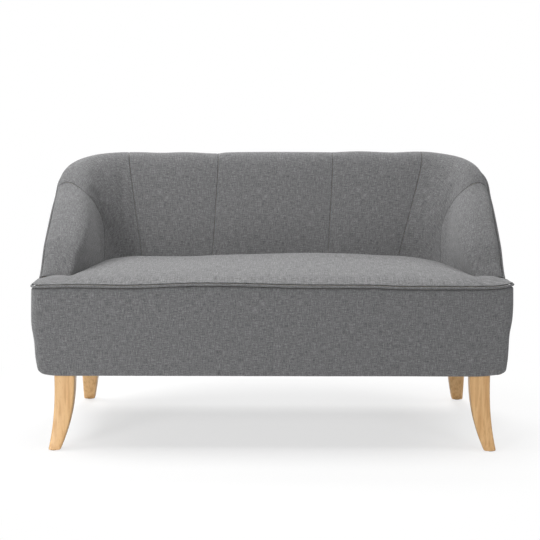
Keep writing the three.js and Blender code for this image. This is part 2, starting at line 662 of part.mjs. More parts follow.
// Chamfered rings from the leg's top down to its foot.
function legRings(top, foot) {
  return spread(0, 1, LEG_STEPS).map((t) => {
    const middle = lerpPoint(top, foot, t ** LEG_SWEEP_SHARE);
    const halfWidth = lerp(LEG_TOP_WIDTH, LEG_FOOT_SIZE, t ** LEG_TAPER_SHARE) / 2;
    const halfDepth = lerp(LEG_TOP_DEPTH, LEG_FOOT_SIZE, t ** LEG_TAPER_SHARE) / 2;
    const z = lerp(UNDERSIDE_HEIGHT, GLIDE_HEIGHT + CLEARANCE, t);
    const corners = [[1, 1], [-1, 1], [-1, -1], [1, -1]];
    return corners.flatMap(([sx, sy]) => {
      const onSideFace = [sx * halfWidth, sy * (halfDepth - LEG_CHAMFER)];
      const onFrontFace = [sx * (halfWidth - LEG_CHAMFER), sy * halfDepth];
      const pair = sx * sy > 0 ? [onSideFace, onFrontFace] : [onFrontFace, onSideFace];
      return pair.map(([x, y]) => new THREE.Vector3(middle.x + x, middle.y + y, z));
    });
  });
}
function addLeg(name, top, foot, bolt, block) {
  const drill = uprightRod(bolt.x, bolt.y, boltBottom - CLEARANCE, blockTop + CLEARANCE, boltHole);
  add(`${name}_leg`, cut(stack(legRings(top, foot)), [drill]), legFinish);
  add(`${name}_leg_block`, cut(block, [drill]), pineFinish);
  const rod = uprightRod(bolt.x, bolt.y, boltBottom, blockTop - CLEARANCE, BOLT_DIAMETER);
  add(`${name}_leg_bolt`, rod, steelFinish);
  add(`${name}_glide`, uprightRod(foot.x, foot.y, 0, GLIDE_HEIGHT, GLIDE_DIAMETER), nylonFinish);
  return drill;
}
const framePlan = (places, reach) => places.map((w) => framePoint(w, frameBottom, reach));
// A rear leg block fills the corner rail's curve as far as the end of the rear rail.
function rearBlockOutline(side) {
  const near = cornerX + CLEARANCE;
  const curve = framePlan(stations(1, 2), -postInner - CLEARANCE).map((p) => at(Math.max(near, -p.x), p.y));
  const lap = cornerY - REAR_BLOCK_OVERLAP;
  const corners = [at(near, lap), at(curve[0].x, lap), ...curve];
  return new THREE.Shape(corners.map((p) => at(side * p.x, p.y)));
}
const drills = sides.flatMap(([name, side]) => {
  const frontTop = at(side * (halfBorder - FRONT_LEG_INSET), FRONT_LEG_SETBACK);
  const frontFoot = at(frontTop.x + side * FRONT_KICK, frontTop.y - FRONT_KICK_FORWARD);
  const rearTop = at(side * (halfBorder - REAR_LEG_INSET), baseDepth - REAR_LEG_SETBACK);
  const rearFoot = at(rearTop.x + side * REAR_KICK, rearTop.y + REAR_KICK_BACK);
  const frontBolt = at(frontTop.x, railBack + BOLT_MARGIN);
  const frontBlock = boxOnSide(
    side,
    [blockFace - LEG_BLOCK_WIDTH, railBack, frameBottom],
    [blockFace, railBack + LEG_BLOCK_WIDTH, blockTop],
  );
  const rearBlock = slab(rearBlockOutline(side), frameBottom, LEG_BLOCK_HEIGHT);
  return [
    addLeg(`front_${name}`, frontTop, frontFoot, frontBolt, frontBlock),
    addLeg(`rear_${name}`, rearTop, rearFoot, rearTop, rearBlock),
  ];
});

// Dust cover under the box, with a hole for each bolt
function dustOutline() {
  const earX = sideFace - EAR_RADIUS + railFace;
  const corner = framePlan(stations(1, 2), -railInset).map((p) => at(p.x, p.y));
  const left = [at(-earX, railFace), at(-sideFace, EAR_RADIUS), ...corner];
  return new THREE.Shape([...left, ...[...left].reverse().map((p) => at(-p.x, p.y))]);
}
add('dust_cover', cut(slab(dustOutline(), coverBottom, DUST_COVER), drills), cambricFinish);

// Upright frame: posts, and a rail under the roll that follows the rim
const rimRailTop = (w) => overRail(w) - RIM_EASE;
const underRim = (w) => rimRailTop(w) - RIM_RAIL_HEIGHT;
function backPost(x) {
  const rear = (z) => lerp(baseDepth, rimDepth, leanShare(z)) - railInset;
  const top = underRim(MIDDLE) - CLEARANCE;
  const face = (forward) => [x - POST_WIDTH / 2, x + POST_WIDTH / 2].map(
    (px) => [frameBottom, knee, top].map((z) => new THREE.Vector3(px, rear(z) - forward, z)),
  );
  return shell(face(0), face(POST_DEPTH));
}
const outerPost = outerSeam - POST_WIDTH / 2; // the outer posts stand just inside the outer back seams
const innerPost = CENTRE_PANEL_WIDTH / 2;
add('outer_left_post', backPost(-outerPost), pineFinish);
add('inner_left_post', backPost(-innerPost), pineFinish);
add('inner_right_post', backPost(innerPost), pineFinish);
add('outer_right_post', backPost(outerPost), pineFinish);

function rimRail(from, to) {
  const levels = (w) => [Math.max(channelBottom, underRim(w)), rimRailTop(w)];
  return band(stations(from, to, CLEARANCE / 2), levels, -CLEARANCE, -postInner);
}
add('top_rail', rimRail(2, ROUND - 2), pineFinish);
sides.forEach(([name, side]) => {
  const [armStart, armEnd] = onSide([0, 1], side);
  const [cornerStart, cornerEnd] = onSide([1, 2], side);
  add(`${name}_arm_rail`, rimRail(armStart, armEnd), pineFinish);
  add(`${name}_corner_rim_rail`, rimRail(cornerStart, cornerEnd), pineFinish);
  const postLevels = (w) => [channelBottom, underRim(w) - 2 * CLEARANCE];
  const armPost = onSide([1 - 1 / ARM_STEPS, 1], side);
  const cornerPost = onSide([1 + 3 / CORNER_STEPS, 1 + 4 / CORNER_STEPS], side);
  add(`${name}_arm_post`, band(armPost, postLevels, -railInset, -postInner), pineFinish);
  add(`${name}_corner_post`, band(cornerPost, postLevels, -railInset, -postInner), pineFinish);
});

// Zigzag springs in steel channels on the front and rear rails, tied together across their width
const springFront = railFace + CHANNEL_DEPTH / 2;
const springRear = rearRailFace - CHANNEL_DEPTH / 2;
const springReach = ((SPRING_COUNT - 1) / 2) * SPRING_PITCH; // middle of the seat to the outermost spring
const springCentres = spread(-springReach, springReach, SPRING_COUNT - 1);
function zigzag(x) {
  const bars = spread(springFront, springRear, SPRING_BARS);
  return tube(bars.flatMap((y, i) => {
    const start = x + (i % 2 ? SPRING_WIDTH / 2 : -SPRING_WIDTH / 2);
    const end = 2 * x - start;
    return [new THREE.Vector3(start, y, springLevel), new THREE.Vector3(end, y, springLevel)];
  }), WIRE, WIRE_SIDES, SPRING_STEPS);
}
const springSpan = springReach + SPRING_WIDTH / 2 + 2 * WIRE;
const tieLevel = springLevel - WIRE / 2;
const ties = [1 / 3, 2 / 3].map((share) => tube([
  new THREE.Vector3(-springSpan, lerp(springFront, springRear, share), tieLevel),
  new THREE.Vector3(springSpan, lerp(springFront, springRear, share), tieLevel),
], TIE_WIRE, WIRE_SIDES, 1));
add('zigzag_springs', join([...springCentres.map(zigzag), ...ties]), steelFinish);
// A channel open towards the springs.
function springChannel(back, forward) {
  const y = (reach) => back + forward * reach;
  const outline = new THREE.Shape([
    at(y(0), channelBottom), at(y(CHANNEL_DEPTH), channelBottom),
    at(y(CHANNEL_DEPTH), channelBottom + CHANNEL_WALL), at(y(CHANNEL_WALL), channelBottom + CHANNEL_WALL),
    at(y(CHANNEL_WALL), channelTop - CHANNEL_WALL), at(y(CHANNEL_DEPTH), channelTop - CHANNEL_WALL),
    at(y(CHANNEL_DEPTH), channelTop), at(y(0), channelTop),
  ]);
  const length = 2 * (springSpan + CHANNEL_DEPTH);
  return new THREE.ExtrudeGeometry(outline, { depth: length, bevelEnabled: false })
    .rotateX(Math.PI / 2)
    .rotateZ(Math.PI / 2)
    .translate(-length / 2, 0, 0);
}
add('front_spring_channel', springChannel(railFace, 1), steelFinish);
add('rear_spring_channel', springChannel(rearRailFace, -1), steelFinish);

const bounds = new THREE.Box3().setFromObject(group);
group.position.y = -(bounds.min.y + bounds.max.y) / 2;

export default group;
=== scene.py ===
"""The looks of a high back settee: woven covers over foam, piped edges, pale wooden sabre legs.

The timber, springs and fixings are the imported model's own nodes. Everything soft, and the legs, is
modelled here round them, in metres and in the model's own frame.
"""
import math

import bmesh
import bpy
import numpy as np
from bpy.props import FloatProperty, FloatVectorProperty, PointerProperty
from bpy.types import Operator, Panel, PropertyGroup
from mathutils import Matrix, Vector, noise


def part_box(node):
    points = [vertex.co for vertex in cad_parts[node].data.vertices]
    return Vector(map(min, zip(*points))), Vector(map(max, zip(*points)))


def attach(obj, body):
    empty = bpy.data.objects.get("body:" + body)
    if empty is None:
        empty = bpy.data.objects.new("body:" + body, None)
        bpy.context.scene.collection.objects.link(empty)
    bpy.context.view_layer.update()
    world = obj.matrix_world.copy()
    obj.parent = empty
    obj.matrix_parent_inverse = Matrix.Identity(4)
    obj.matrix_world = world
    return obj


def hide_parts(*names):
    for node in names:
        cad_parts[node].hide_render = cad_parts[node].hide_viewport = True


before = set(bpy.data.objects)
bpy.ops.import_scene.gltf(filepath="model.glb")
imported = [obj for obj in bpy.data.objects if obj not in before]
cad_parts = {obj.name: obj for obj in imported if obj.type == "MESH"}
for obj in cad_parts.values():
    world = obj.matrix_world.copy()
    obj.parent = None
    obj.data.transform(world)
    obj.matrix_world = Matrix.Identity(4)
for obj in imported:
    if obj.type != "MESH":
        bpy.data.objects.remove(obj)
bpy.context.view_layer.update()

bl_info = {
    "name": "High Back Settee",
    "version": (1, 0, 0),
    "blender": (4, 5, 0),
    "location": "View3D > Sidebar > Settee",
    "description": "Dresses a high back settee's frame in foam, woven covers, piping and wooden legs",
    "category": "Object",
}

MM = 0.001
BODY = "root"

# Fits, as in the frame
CLEARANCE = 0.3 * MM
FOAM_CLEARANCE = 0.8 * MM
SEAM_GAP = 0.6 * MM
COVER = 3 * MM  # woven cover with its wadding
OUTER_COVER = 4 * MM  # border and outside covers with their backing
HESSIAN = 2 * MM
FELT = 4 * MM
DUST_COVER = 1.2 * MM
DUST_SAG = 5 * MM
PIPING_RECESS = 1.8 * MM  # from the seat's piping down to the border's turned edge
SEAT_SETBACK = 3.6 * MM  # the seat cover stops this far behind the border's face, against its piping
EAR_CROWN_SHARE = 0.55  # how much of the seat's crown is left at the sides
RIM_EASE = 2.5 * MM  # the lining stops this far below the rim's covers
RIGHT_SET_IN_SHARE = 1.7  # the right arm's cover and piping are set in this much more than the left's
RIGHT_GROOVE_SHARE = 1.3  # and the groove beside its piping is this much deeper
BACK_GROOVE_SHARE = 0.5  # while along the back it is shallower
FLANGE_SHARE = 0.3  # a cover's sewn edge stays this near its piping, before it turns down
LEG_SWEEP_SHARE = 2.3  # power of the curve that a leg's middle follows
LEG_TAPER_SHARE = 1.9  # power of the curve by which it thins
SOFT_WORDS = ("cover", "border", "piping", "foam", "felt", "hessian")
# How far a cover turns in at an edge, and over what distance
HEM_FOLD = (5 * MM, 6 * MM)
BORDER_TOP_FOLD = (6.5 * MM, 6 * MM)
OUTSIDE_TOP_FOLD = (3 * MM, 5 * MM)
SEAT_EDGE_FOLD = (2.6 * MM, 3.5 * MM)
SEAT_TUCK_FOLD = (14 * MM, 11 * MM)
FOAM_TUCK_FOLD = (24 * MM, 26 * MM)
FOAM_EDGE_FOLD = (16 * MM, 22 * MM)
# How wide and how high the slow unevenness of hand upholstery is
PANEL_UNEVENNESS = (120 * MM, 1.2 * MM)
SEAT_UNEVENNESS = (160 * MM, 1.5 * MM)
BORDER_UNEVENNESS = (140 * MM, 1.4 * MM)
# Beside its seams and edges a cover is even, and its unevenness grows over this distance
SEAM_CALM = 40 * MM
SEAT_CALM = 60 * MM
BORDER_CALM = 50 * MM
SEAT_DIP_REACH = 60 * MM  # how far out of its tuck the seat still dips
# The border's bottom edge curves up at its corners: over how long a run, how far back and how high up
LEFT_CORNER_RUN, RIGHT_CORNER_RUN = 70 * MM, 104 * MM
CORNER_DEPTH, CORNER_HEIGHT = 60 * MM, 80 * MM
WAVE_HEIGHT = 120 * MM  # how far below the seat's piping its waves still draw the border
FOAM_HOLLOW = 2 * MM  # how much deeper than its cover the foam is hollowed beside the piping
SOLE_EASE = 1.2 * MM  # how far a leg's last rings draw in
PUFF_FULLNESS_SHARE = 0.7  # power below 1, which keeps a panel full up to its seams
PUFF_DROP_SHARE = 2  # power that puts the swell's fullest place below the roll
FULLEST = 1.3  # where down the profile a panel's width is measured
# Most distance between the columns of a piece's grid
COVER_PITCH = 8 * MM
SEAT_PITCH = 10 * MM
OUTER_PITCH = 12 * MM
LINING_PITCH = 20 * MM
FOAM_PITCH = 24 * MM

# Travel w runs from the left toe (0) over the arm, the corner (1 to 2), the back panel (2 to 3) and half
# the centre panel to the middle of the back (4), then the same way on to the right toe (8).
MIDDLE = 4
ROUND = 2 * MIDDLE
TINY = 1e-4
HELD = "held"
FLECK_SHARE = 1.0  # how strongly flecks show beside the slubs of the warp and the weft
# How far the roll melts into the face below it, in shares of the roll's or the face's own run
ARM_MELT = 0.26
TOE_MELT = 0.12
BACK_MELT = 0.2
MELT_WEIGHTS = ((-1.8, 0.06), (-1.1, 0.14), (-0.5, 0.2), (0, 0.2), (0.5, 0.2), (1.1, 0.14), (1.8, 0.06))
ROUNDNESS_SHARE = 0.5523  # curve handle that gives a circular corner

# Height of the rim round the half circuit, as shares of its rise
RIM_RISE_SHARES = (
    (0, 0), (0.09, 0.063), (0.155, 0.133), (0.21, 0.203), (0.276, 0.273), (0.37, 0.339), (0.466, 0.406),
    (0.67, 0.539), (0.786, 0.605), (0.917, 0.672), (1, 0.725), (1.11, 0.82), (1.22, 0.885), (1.33, 0.928),
    (1.5, 0.967), (1.7, 0.99), (2, 1), (4, 1),
)
# Height of the soft roll over the piping, as shares of its full rise
ROLL_RISE_SHARES = (
    (0, 0.35), (0.1, 0.6), (0.3, 0.8), (0.6, 0.9), (1, 0.94), (1.33, 0.97), (2, 1), (4, 1),
)
ROLL_SQUARENESS_SHARE = 0.86  # below 1, the roll is fuller than half an ellipse
# The ridge isn't quite level: it is drawn up or down beside the seams, as shares of the wave's height
RIDGE_WAVE_SHARES = (
    (0, 0), (1, 0), (1.6, 0), (2, 0.3), (2.37, -0.8), (2.63, 0), (3, -1.1), (3.15, 0), (3.3, 0.2), (4, 0.2),
    (5, 0.3), (5.3, 1.1), (5.7, 0), (6, 1.2), (6.4, 0), (7, 0), (8, 0),
)
# Hand-tightened seams let the seat's front edge wave, and its back sink, across the width (-1 to 1)
SEAT_WAVE_SHARES = (
    (-1, -0.25), (-0.82, 0.15), (-0.61, -0.15), (-0.28, 0.95), (-0.1, 0.7), (0.12, 0.1), (0.4, 0.05),
    (0.55, -0.5), (0.85, -0.5), (0.93, -0.1), (1, 1),
)
SEAT_SLUMP_SHARES = (
    (-1, 0), (-0.78, 0.05), (-0.68, 0.6), (-0.5, 1), (-0.4, 1.05), (-0.23, 0.65), (-0.03, 0.35), (0.16, 0),
    (0.36, 0.25), (0.5, 0.6), (0.76, 0.85), (0.85, 0.1), (1, 0),
)
# How far the outer covers are drawn in from their foot up, which is further up on the right
LEFT_HEM_SHARES = (
    (0, 0.78), (0.11, 0.63), (0.22, 0.55), (0.335, 0.53), (0.44, 0.51), (0.56, 0.34), (0.665, 0.12),
    (0.78, 0.03), (1, 0),
)
RIGHT_HEM_SHARES = (
    (0, 0.88), (0.11, 0.78), (0.22, 0.71), (0.335, 0.7), (0.44, 0.7), (0.56, 0.65), (0.665, 0.46),
    (0.78, 0.2), (0.89, 0.08), (1, 0),
)
# Each arm's inside swells like a bolster: how much of the swell there is down the profile and along it
BOLSTER_DROP_SHARES = (
    (0, 0), (0.4, 0), (0.7, 0.3), (1, 0.85), (1.15, 1), (1.3, 0.93), (1.5, 0.66), (1.7, 0.33), (1.85, 0.12),
    (2, 0), (3, 0),
)
BOLSTER_RUN_SHARES = (
    (0, 0), (0.2, 0.5), (0.4, 0.93), (0.52, 1), (0.7, 0.93), (1, 0.72), (1.3, 0.5), (1.6, 0.3), (1.9, 0.12),
    (2.2, 0.03), (2.5, 0), (4, 0),
)
# The arm's seam, as the travel that it has reached from the piping (0), over the roll (1), to the seat (2)
ARM_SEAM_SHARES = (
    (0, 1.004), (0.2, 1.01), (0.4, 1.022), (0.6, 1.01), (0.8, 1.005), (0.9, 1.009), (1, 1.026), (1.1, 1.056),
    (1.2, 1.106), (1.3, 1.175), (1.4, 1.25), (1.5, 1.306), (1.6, 1.327), (1.7, 1.303), (1.8, 1.265),
    (2, 1.175), (3, 1.17),
)


def length(name, description, default):
    """A size that a user can change, given in millimetres."""
    return FloatProperty(
        name=name, description=description, default=default * MM, unit="LENGTH", precision=4
    )


def tint(name, description, code):
    """A colour that a user can change, given as an sRGB hex value."""
    return FloatVectorProperty(
        name=name, description=description, default=linear(code), subtype="COLOR", size=3, min=0, max=1
    )


def linear(code):
    """The linear colour of an sRGB hex value."""
    shares = [int(code[i:i + 2], 16) / 255 for i in (1, 3, 5)]
    return tuple(c / 12.92 if c <= 0.04045 else ((c + 0.055) / 1.055) ** 2.4 for c in shares)


class SetteeSizes(PropertyGroup):
    """Sizes of the upholstery and the legs."""

    border_width: length("Border width", "Across the front border", 1300)
    underside: length("Underside", "Floor to the underside of the seat box", 213)
    seat_line: length("Seat line", "Height of the piped front edge of the seat", 458)
    seat_depth: length("Seat depth", "Front edge to the inside back, at the seat line", 487)
    ear_depth: length("Ear depth", "How far the seat runs back before the arms begin", 118)
    ear_width: length("Ear width", "Width of seat in front of each arm", 90)
    ear_proud: length("Ear stand-out", "How far each ear stands out past the arm's frame", 12)
    ear_radius: length("Ear radius", "Plan radius of the seat's front corners", 28)
    seat_crown: length("Seat crown", "How far the seat's middle stands above its edge", 14)
    seat_edge_roll: length("Seat edge roll", "How far back the seat's rounded front edge reaches", 80)
    seat_tuck: length("Seat tuck", "How far the seat dips where it meets the arms and back", 7)
    back_depth: length("Back depth", "Thickness of the back at the seat line", 84)
    back_lean: length("Back lean", "How far the rim stands behind the frame's foot", 70)
    arm_lean: length("Arm lean", "How far each arm frame draws in towards the rim", 2.5)
    base_corner: length("Base corner", "Plan radius of the frame's corners", 130)
    rim_corner: length("Rim corner", "How far the rim's corner runs along the side", 183)
    rim_toe: length("Rim toe height", "Height of the rim piping where the arm meets the seat", 461)
    rim_height: length("Rim height", "Height of the rim piping along the back", 733)
    roll_rise: length("Roll rise", "Height of the soft roll above the piping", 25)
    ridge_wave: length("Ridge wave", "How far the ridge is drawn up or down by its seams", 3)
    corner_panel: length("Corner panel", "From the arm frame in to the outer back seam, at the rim", 192.5)
    corner_panel_lean: length("Corner panel lean", "How far each outer back seam comes in at the seat", 59)
    centre_panel: length("Centre panel", "Between the inner back seams", 346)
    arm_pad: length("Arm pad", "Arm thickness at the rim, frame and pad together", 66)
    back_pad: length("Back pad", "Back thickness at the rim, frame and pad together", 72)
    arm_splay: length("Arm splay", "How far each arm's inside comes in from toe to corner", 57)
    seat_corner: length("Seat corner", "How far the seat's corner runs along the arm", 142)
    inside_rim_corner: length("Inside rim corner", "How far the inside rim's corner runs along the arm", 128)
    drift_top: length("Seam drift, rim", "How far right the back seams sit at the rim", 8)
    drift_seat: length("Seam drift, seat", "How far left the back seams sit at the seat", 9)
    panel_puff: length("Panel puff", "How far each inside panel stands off between its seams", 5)
    arm_bolster: length("Arm bolster", "How far the inside of each arm swells at its fullest", 17)
    toe_nose: length("Toe nose", "How far back each arm's front end takes to rise", 30)
    seam_depth: length("Seam depth", "How far a cover turns down into its seam", 1.3)
    seam_radius: length("Seam radius", "How wide that turn is", 2.4)
    rim_groove: length("Rim groove", "How far the covers turn down beside the arms' piping", 8)
    rim_set_in: length("Rim set-in", "How far in from its piping the left arm's cover stands", 5.5)
    outside_swell: length("Outside swell", "How far the outside covers swell at mid height", 9)
    border_swell: length("Border swell", "How far the border swells at mid height", 3)
    hem_tuck: length("Hem tuck", "How far the covers draw in at their bottom edge", 15)
    hem_drop: length("Hem drop", "How far the outer covers hang below the seat box", 4.2)
    hem_reach: length("Hem reach", "How far up the draw-in goes", 194)
    corner_lift: length("Corner lift", "How far the border's bottom edge rises at its corners", 13)
    welt: length("Piping", "Diameter of the rim's piping", 7)
    welt_stand_off: length("Piping stand-off", "From the frame's face out to the rim piping's middle", 4.3)
    arm_welt_set_in: length("Arm piping set-in", "How much further in the piping sits on the left arm", 2.2)
    seat_welt: length("Seat piping", "Diameter of the seat's piping", 6.6)
    seat_welt_lift: length("Seat piping lift", "How far the seat's piping sits above the seat line", 1.2)
    seat_welt_set_in: length("Seat piping set-in", "From the border's face in to its middle", 1)
    seat_wave: length("Seat wave", "How far the seat's piped edge rises and falls", 6)
    ear_droop: length("Ear droop", "How far the outer edge of each ear sinks towards the arm", 6)
    seat_slump: length("Seat slump", "How far the seat has sunk along the back, at most", 10)
    leg_top_width: length("Leg top width", "Width of a leg at its top", 56)
    leg_top_depth: length("Leg top depth", "Depth of a leg at its top", 48)
    leg_foot: length("Leg foot", "Width and depth of a leg at its foot", 33)
    leg_round: length("Leg edge", "Radius of a leg's softened edges", 6)


class SetteeFinish(PropertyGroup):
    """Colours of the covers and the wood."""

    yarn: tint("Yarn", "Main yarn of the covers", "#777778")
    dark_yarn: tint("Dark yarn", "Darkest slubs of the covers", "#505051")
    pale_yarn: tint("Pale yarn", "Palest slubs of the covers", "#9c9c9c")
    leg_wood: tint("Leg wood", "The legs between their grain lines", "#e3b881")
    leg_grain: tint("Leg grain", "The legs' darker grain", "#c59158")


def lerp(a, b, t):
    return a + (b - a) * t


def unit(t):
    return np.clip(t, 0.0, 1.0)


def smooth(t):
    """Eases a share in and out."""
    return t * t * (3 - 2 * t)


def read_table(table, place):
    """Reads (place, value) pairs along a smooth curve that never overshoots them."""
    places, values = np.array(table, float).T
    widths = np.diff(places)
    slopes = np.diff(values) / widths
    before, after = slopes[:-1], slopes[1:]
    together = before * after > 0
    inner = np.where(together, 2 * before * after / np.where(together, before + after, 1), 0)
    tangents = np.concatenate([slopes[:1], inner, slopes[-1:]])
    place = np.clip(place, places[0], places[-1])
    i = np.clip(np.searchsorted(places, place, side="right") - 1, 0, len(widths) - 1)
    t = (place - places[i]) / widths[i]
    start, end, rise = tangents[i] * widths[i], tangents[i + 1] * widths[i], values[i + 1] - values[i]
    return values[i] + t * (start + t * (3 * rise - 2 * start - end + t * (start + end - 2 * rise)))


class PlanLine:
    """Half a line in plan: along the arm, round the corner, then along the back to the middle."""

    def __init__(self, toe, turn, corner, meet_x, seam_x):
        self.toe, self.turn, self.corner = (np.array(p, float) for p in (toe, turn, corner))
        self.meet, self.seam, self.middle = (np.array([x, corner[1]]) for x in (meet_x, seam_x, 0.0))

    def half(self, w):
        t = [unit(w - i)[..., None] for i in range(MIDDLE)]
        near, far = (lerp(p, self.corner, ROUNDNESS_SHARE) for p in (self.turn, self.meet))
        u = 1 - t[1]
        curve = u**3 * self.turn + 3 * u * u * t[1] * near + 3 * u * t[1] ** 2 * far + t[1] ** 3 * self.meet
        w = w[..., None]
        back = np.where(w <= 3, lerp(self.meet, self.seam, t[2]), lerp(self.seam, self.middle, t[3]))
        return np.where(w <= 1, lerp(self.toe, self.turn, t[0]), np.where(w <= 2, curve, back))

    def at(self, w):
        w = np.asarray(w, float)
        p = self.half(np.minimum(w, ROUND - w))
        return p * np.stack([np.where(w <= MIDDLE, 1.0, -1.0), np.ones_like(w)], -1)


def near_toe(w):
    return np.minimum(w, ROUND - w)


class Shell:
    """The settee's surfaces before anything swells, from its sizes. Depths are from the border's face."""

    def __init__(self, s):
        self.s = s
        self.half_border = s.border_width / 2
        self.half_foot = self.half_border - s.ear_proud
        self.half_rim = self.half_foot - s.arm_lean
        self.base_depth = s.seat_depth + s.back_depth
        self.rim_depth = self.base_depth + s.back_lean
        self.outer_seam = self.half_rim - s.corner_panel
        self.corner_x = self.half_foot - s.base_corner
        self.corner_y = self.base_depth - s.base_corner
        self.rail_face = OUTER_COVER + s.hem_tuck + 2 * CLEARANCE
        self.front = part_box("front_rail")[0].y - self.rail_face
        self.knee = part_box("front_rail")[1].z
        self.hem = s.underside + CLEARANCE - s.hem_drop
        self.foam_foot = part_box("seat_foam")[0].z
        self.foam_back = self.half_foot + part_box("inside_hessian")[0].x + HESSIAN + CLEARANCE
        seam_x = -s.centre_panel / 2
        toe_x = self.half_border - s.ear_width
        turn_x = toe_x - s.arm_splay
        turn_y = s.seat_depth - s.seat_corner
        self.toe_x, self.turn_x = toe_x, turn_x
        splay = s.arm_splay / (turn_y - s.ear_depth)
        rim_x, rim_y = self.half_rim - s.arm_pad, self.rim_depth - s.back_pad
        self.frame_foot = PlanLine(
            (-self.half_foot, s.ear_depth), (-self.half_foot, self.corner_y),
            (-self.half_foot, self.base_depth), -self.corner_x, seam_x,
        )
        self.frame_rim = PlanLine(
            (-self.half_rim, s.ear_depth), (-self.half_rim, self.rim_depth - s.rim_corner),
            (-self.half_rim, self.rim_depth), -self.outer_seam, seam_x,
        )
        self.inside_seat = PlanLine(
            (-toe_x, s.ear_depth), (-turn_x, turn_y),
            (-turn_x + splay * s.seat_corner, s.seat_depth), -self.outer_seam + s.corner_panel_lean, seam_x,
        )
        self.inside_rim = PlanLine(
            (-rim_x, s.ear_depth), (-rim_x, rim_y - s.inside_rim_corner),
            (-rim_x, rim_y), -self.outer_seam, seam_x,
        )

    def rim(self, w):
        s = self.s
        return lerp(s.rim_toe, s.rim_height, read_table(RIM_RISE_SHARES, near_toe(w)))

    def frame_at(self, w, z):
        lean = np.maximum(0, (z - self.knee) / (self.s.rim_height - self.knee))
        return lerp(self.frame_foot.at(w), self.frame_rim.at(w), lean[..., None])

    def inside_at(self, w, z):
        s = self.s
        share = np.maximum(0, (z - s.seat_line) / (s.rim_height - s.seat_line))
        p = lerp(self.inside_seat.at(w), self.inside_rim.at(w), share[..., None])
        p[..., 0] += unit(near_toe(w) - 1) * lerp(-s.drift_seat, s.drift_top, unit(share))
        return p

    def frame_point(self, w, z, reach):
        """A point on the frame's outside face, moved out square to it."""
        w, z, reach = np.broadcast_arrays(np.asarray(w, float), z, reach)
        along = self.frame_at(np.minimum(ROUND, w + TINY), z) - self.frame_at(np.maximum(0, w - TINY), z)
        along /= np.linalg.norm(along, axis=-1, keepdims=True)
        out = np.stack([-along[..., 1], along[..., 0]], -1)
        p = self.frame_at(w, z) + out * reach[..., None]
        return np.concatenate([p, z[..., None]], -1)

    def set_in(self, w):
        """How far in from its piping the roll stands: only on the arms, and more on the right one."""
        right = w > MIDDLE
        left_end, right_end, toe_end, toe_share = 1.6, 2.2, 0.12, 0.4
        arm = unit(np.where(right, right_end, left_end) - near_toe(w))
        arm = arm * lerp(toe_share, 1, unit(near_toe(w) / toe_end))
        return self.s.rim_set_in * arm * np.where(right, RIGHT_SET_IN_SHARE, 1)

    def groove_depth(self, w):
        """How far the covers turn down beside the rim's piping."""
        arm_end = 1.6
        arm_share = np.where(w > MIDDLE, RIGHT_GROOVE_SHARE, 1)
        return self.s.rim_groove * lerp(BACK_GROOVE_SHARE, arm_share, unit(arm_end - near_toe(w)))

    def edge_gap(self, w):
        """From the piping's middle up to the cover, which is more where the rim slopes."""
        top = np.full_like(w, self.s.rim_height)
        w0, w1 = np.maximum(0, w - TINY), np.minimum(ROUND, w + TINY)
        run = np.linalg.norm(self.frame_at(w1, top) - self.frame_at(w0, top), axis=-1)
        return (self.s.welt / 2 + CLEARANCE) * np.hypot(1, (self.rim(w1) - self.rim(w0)) / run)

    def face_point(self, w, t):
        """The cover's face, with the roll melting into the inside face over a soft stretch round t = 1."""
        w, t = np.broadcast_arrays(np.asarray(w, float), np.asarray(t, float))
        grown, gone, toe_end = 0.8, 0.9, 1.3
        toe = 1 - unit(near_toe(w) / toe_end)
        reach = lerp(BACK_MELT, ARM_MELT, smooth(unit(2 - near_toe(w)))) + TOE_MELT * toe
        reach = reach * np.sin(np.pi / 2 * unit(t / grown)) ** 2
        reach = reach * np.cos(np.pi / 2 * unit((t - 1) / gone)) ** 2
        points = 0
        for place, weight in MELT_WEIGHTS:
            points = points + weight * self.hard_face_point(w, t + place * reach)
        return points

    def hard_face_point(self, w, t):
        """The cover's face: t runs over the roll (0 to 1), down to the seat line (2) and behind it (3)."""
        s = self.s
        w, t = np.broadcast_arrays(np.asarray(w, float), np.asarray(t, float))
        edge = self.rim(w) + self.edge_gap(w)
        angle = np.pi * unit(t)
        across = np.sign(np.cos(angle)) * np.abs(np.cos(angle)) ** ROLL_SQUARENESS_SHARE
        up = np.abs(np.sin(angle)) ** ROLL_SQUARENESS_SHARE
        rise = s.roll_rise * read_table(ROLL_RISE_SHARES, near_toe(w))
        rise = rise + s.ridge_wave * read_table(RIDGE_WAVE_SHARES, w)
        flange_end = 0.03
        set_in = self.set_in(w) * lerp(FLANGE_SHARE, 1, unit(t / flange_end))
        outer = self.frame_point(w, edge, OUTER_COVER - set_in)[..., :2]
        rise = rise * np.sqrt(1 - (1 - unit((outer[..., 1] - s.ear_depth) / s.toe_nose)) ** 2)
        inner = self.inside_at(w, edge)
        roll = lerp(inner, outer, ((1 + across) / 2)[..., None])
        face, tuck = lerp(edge, s.seat_line, unit(t - 1)), lerp(s.seat_line, self.foam_foot, t - 2)
        low = np.where(t <= 2, face, tuck)
        over = (t <= 1)[..., None]
        plan = np.where(over, roll, self.inside_at(w, low))
        return np.concatenate([plan, np.where(over, (edge + rise * up)[..., None], low[..., None])], -1)


def grid_normals(points):
    """Unit normals of a grid of points, on the side that along cross down gives."""
    along = np.gradient(points, axis=0)
    down = np.gradient(points, axis=1)
    normal = np.cross(down, along)
    return normal / np.maximum(np.linalg.norm(normal, axis=-1, keepdims=True), 1e-12)


def lengths(points, axis):
    """Distance travelled along an axis of a grid of points."""
    step = np.linalg.norm(np.diff(points, axis=axis), axis=-1)
    start = np.zeros_like(np.take(step, [0], axis=axis))
    return np.concatenate([start, np.cumsum(step, axis=axis)], axis=axis)


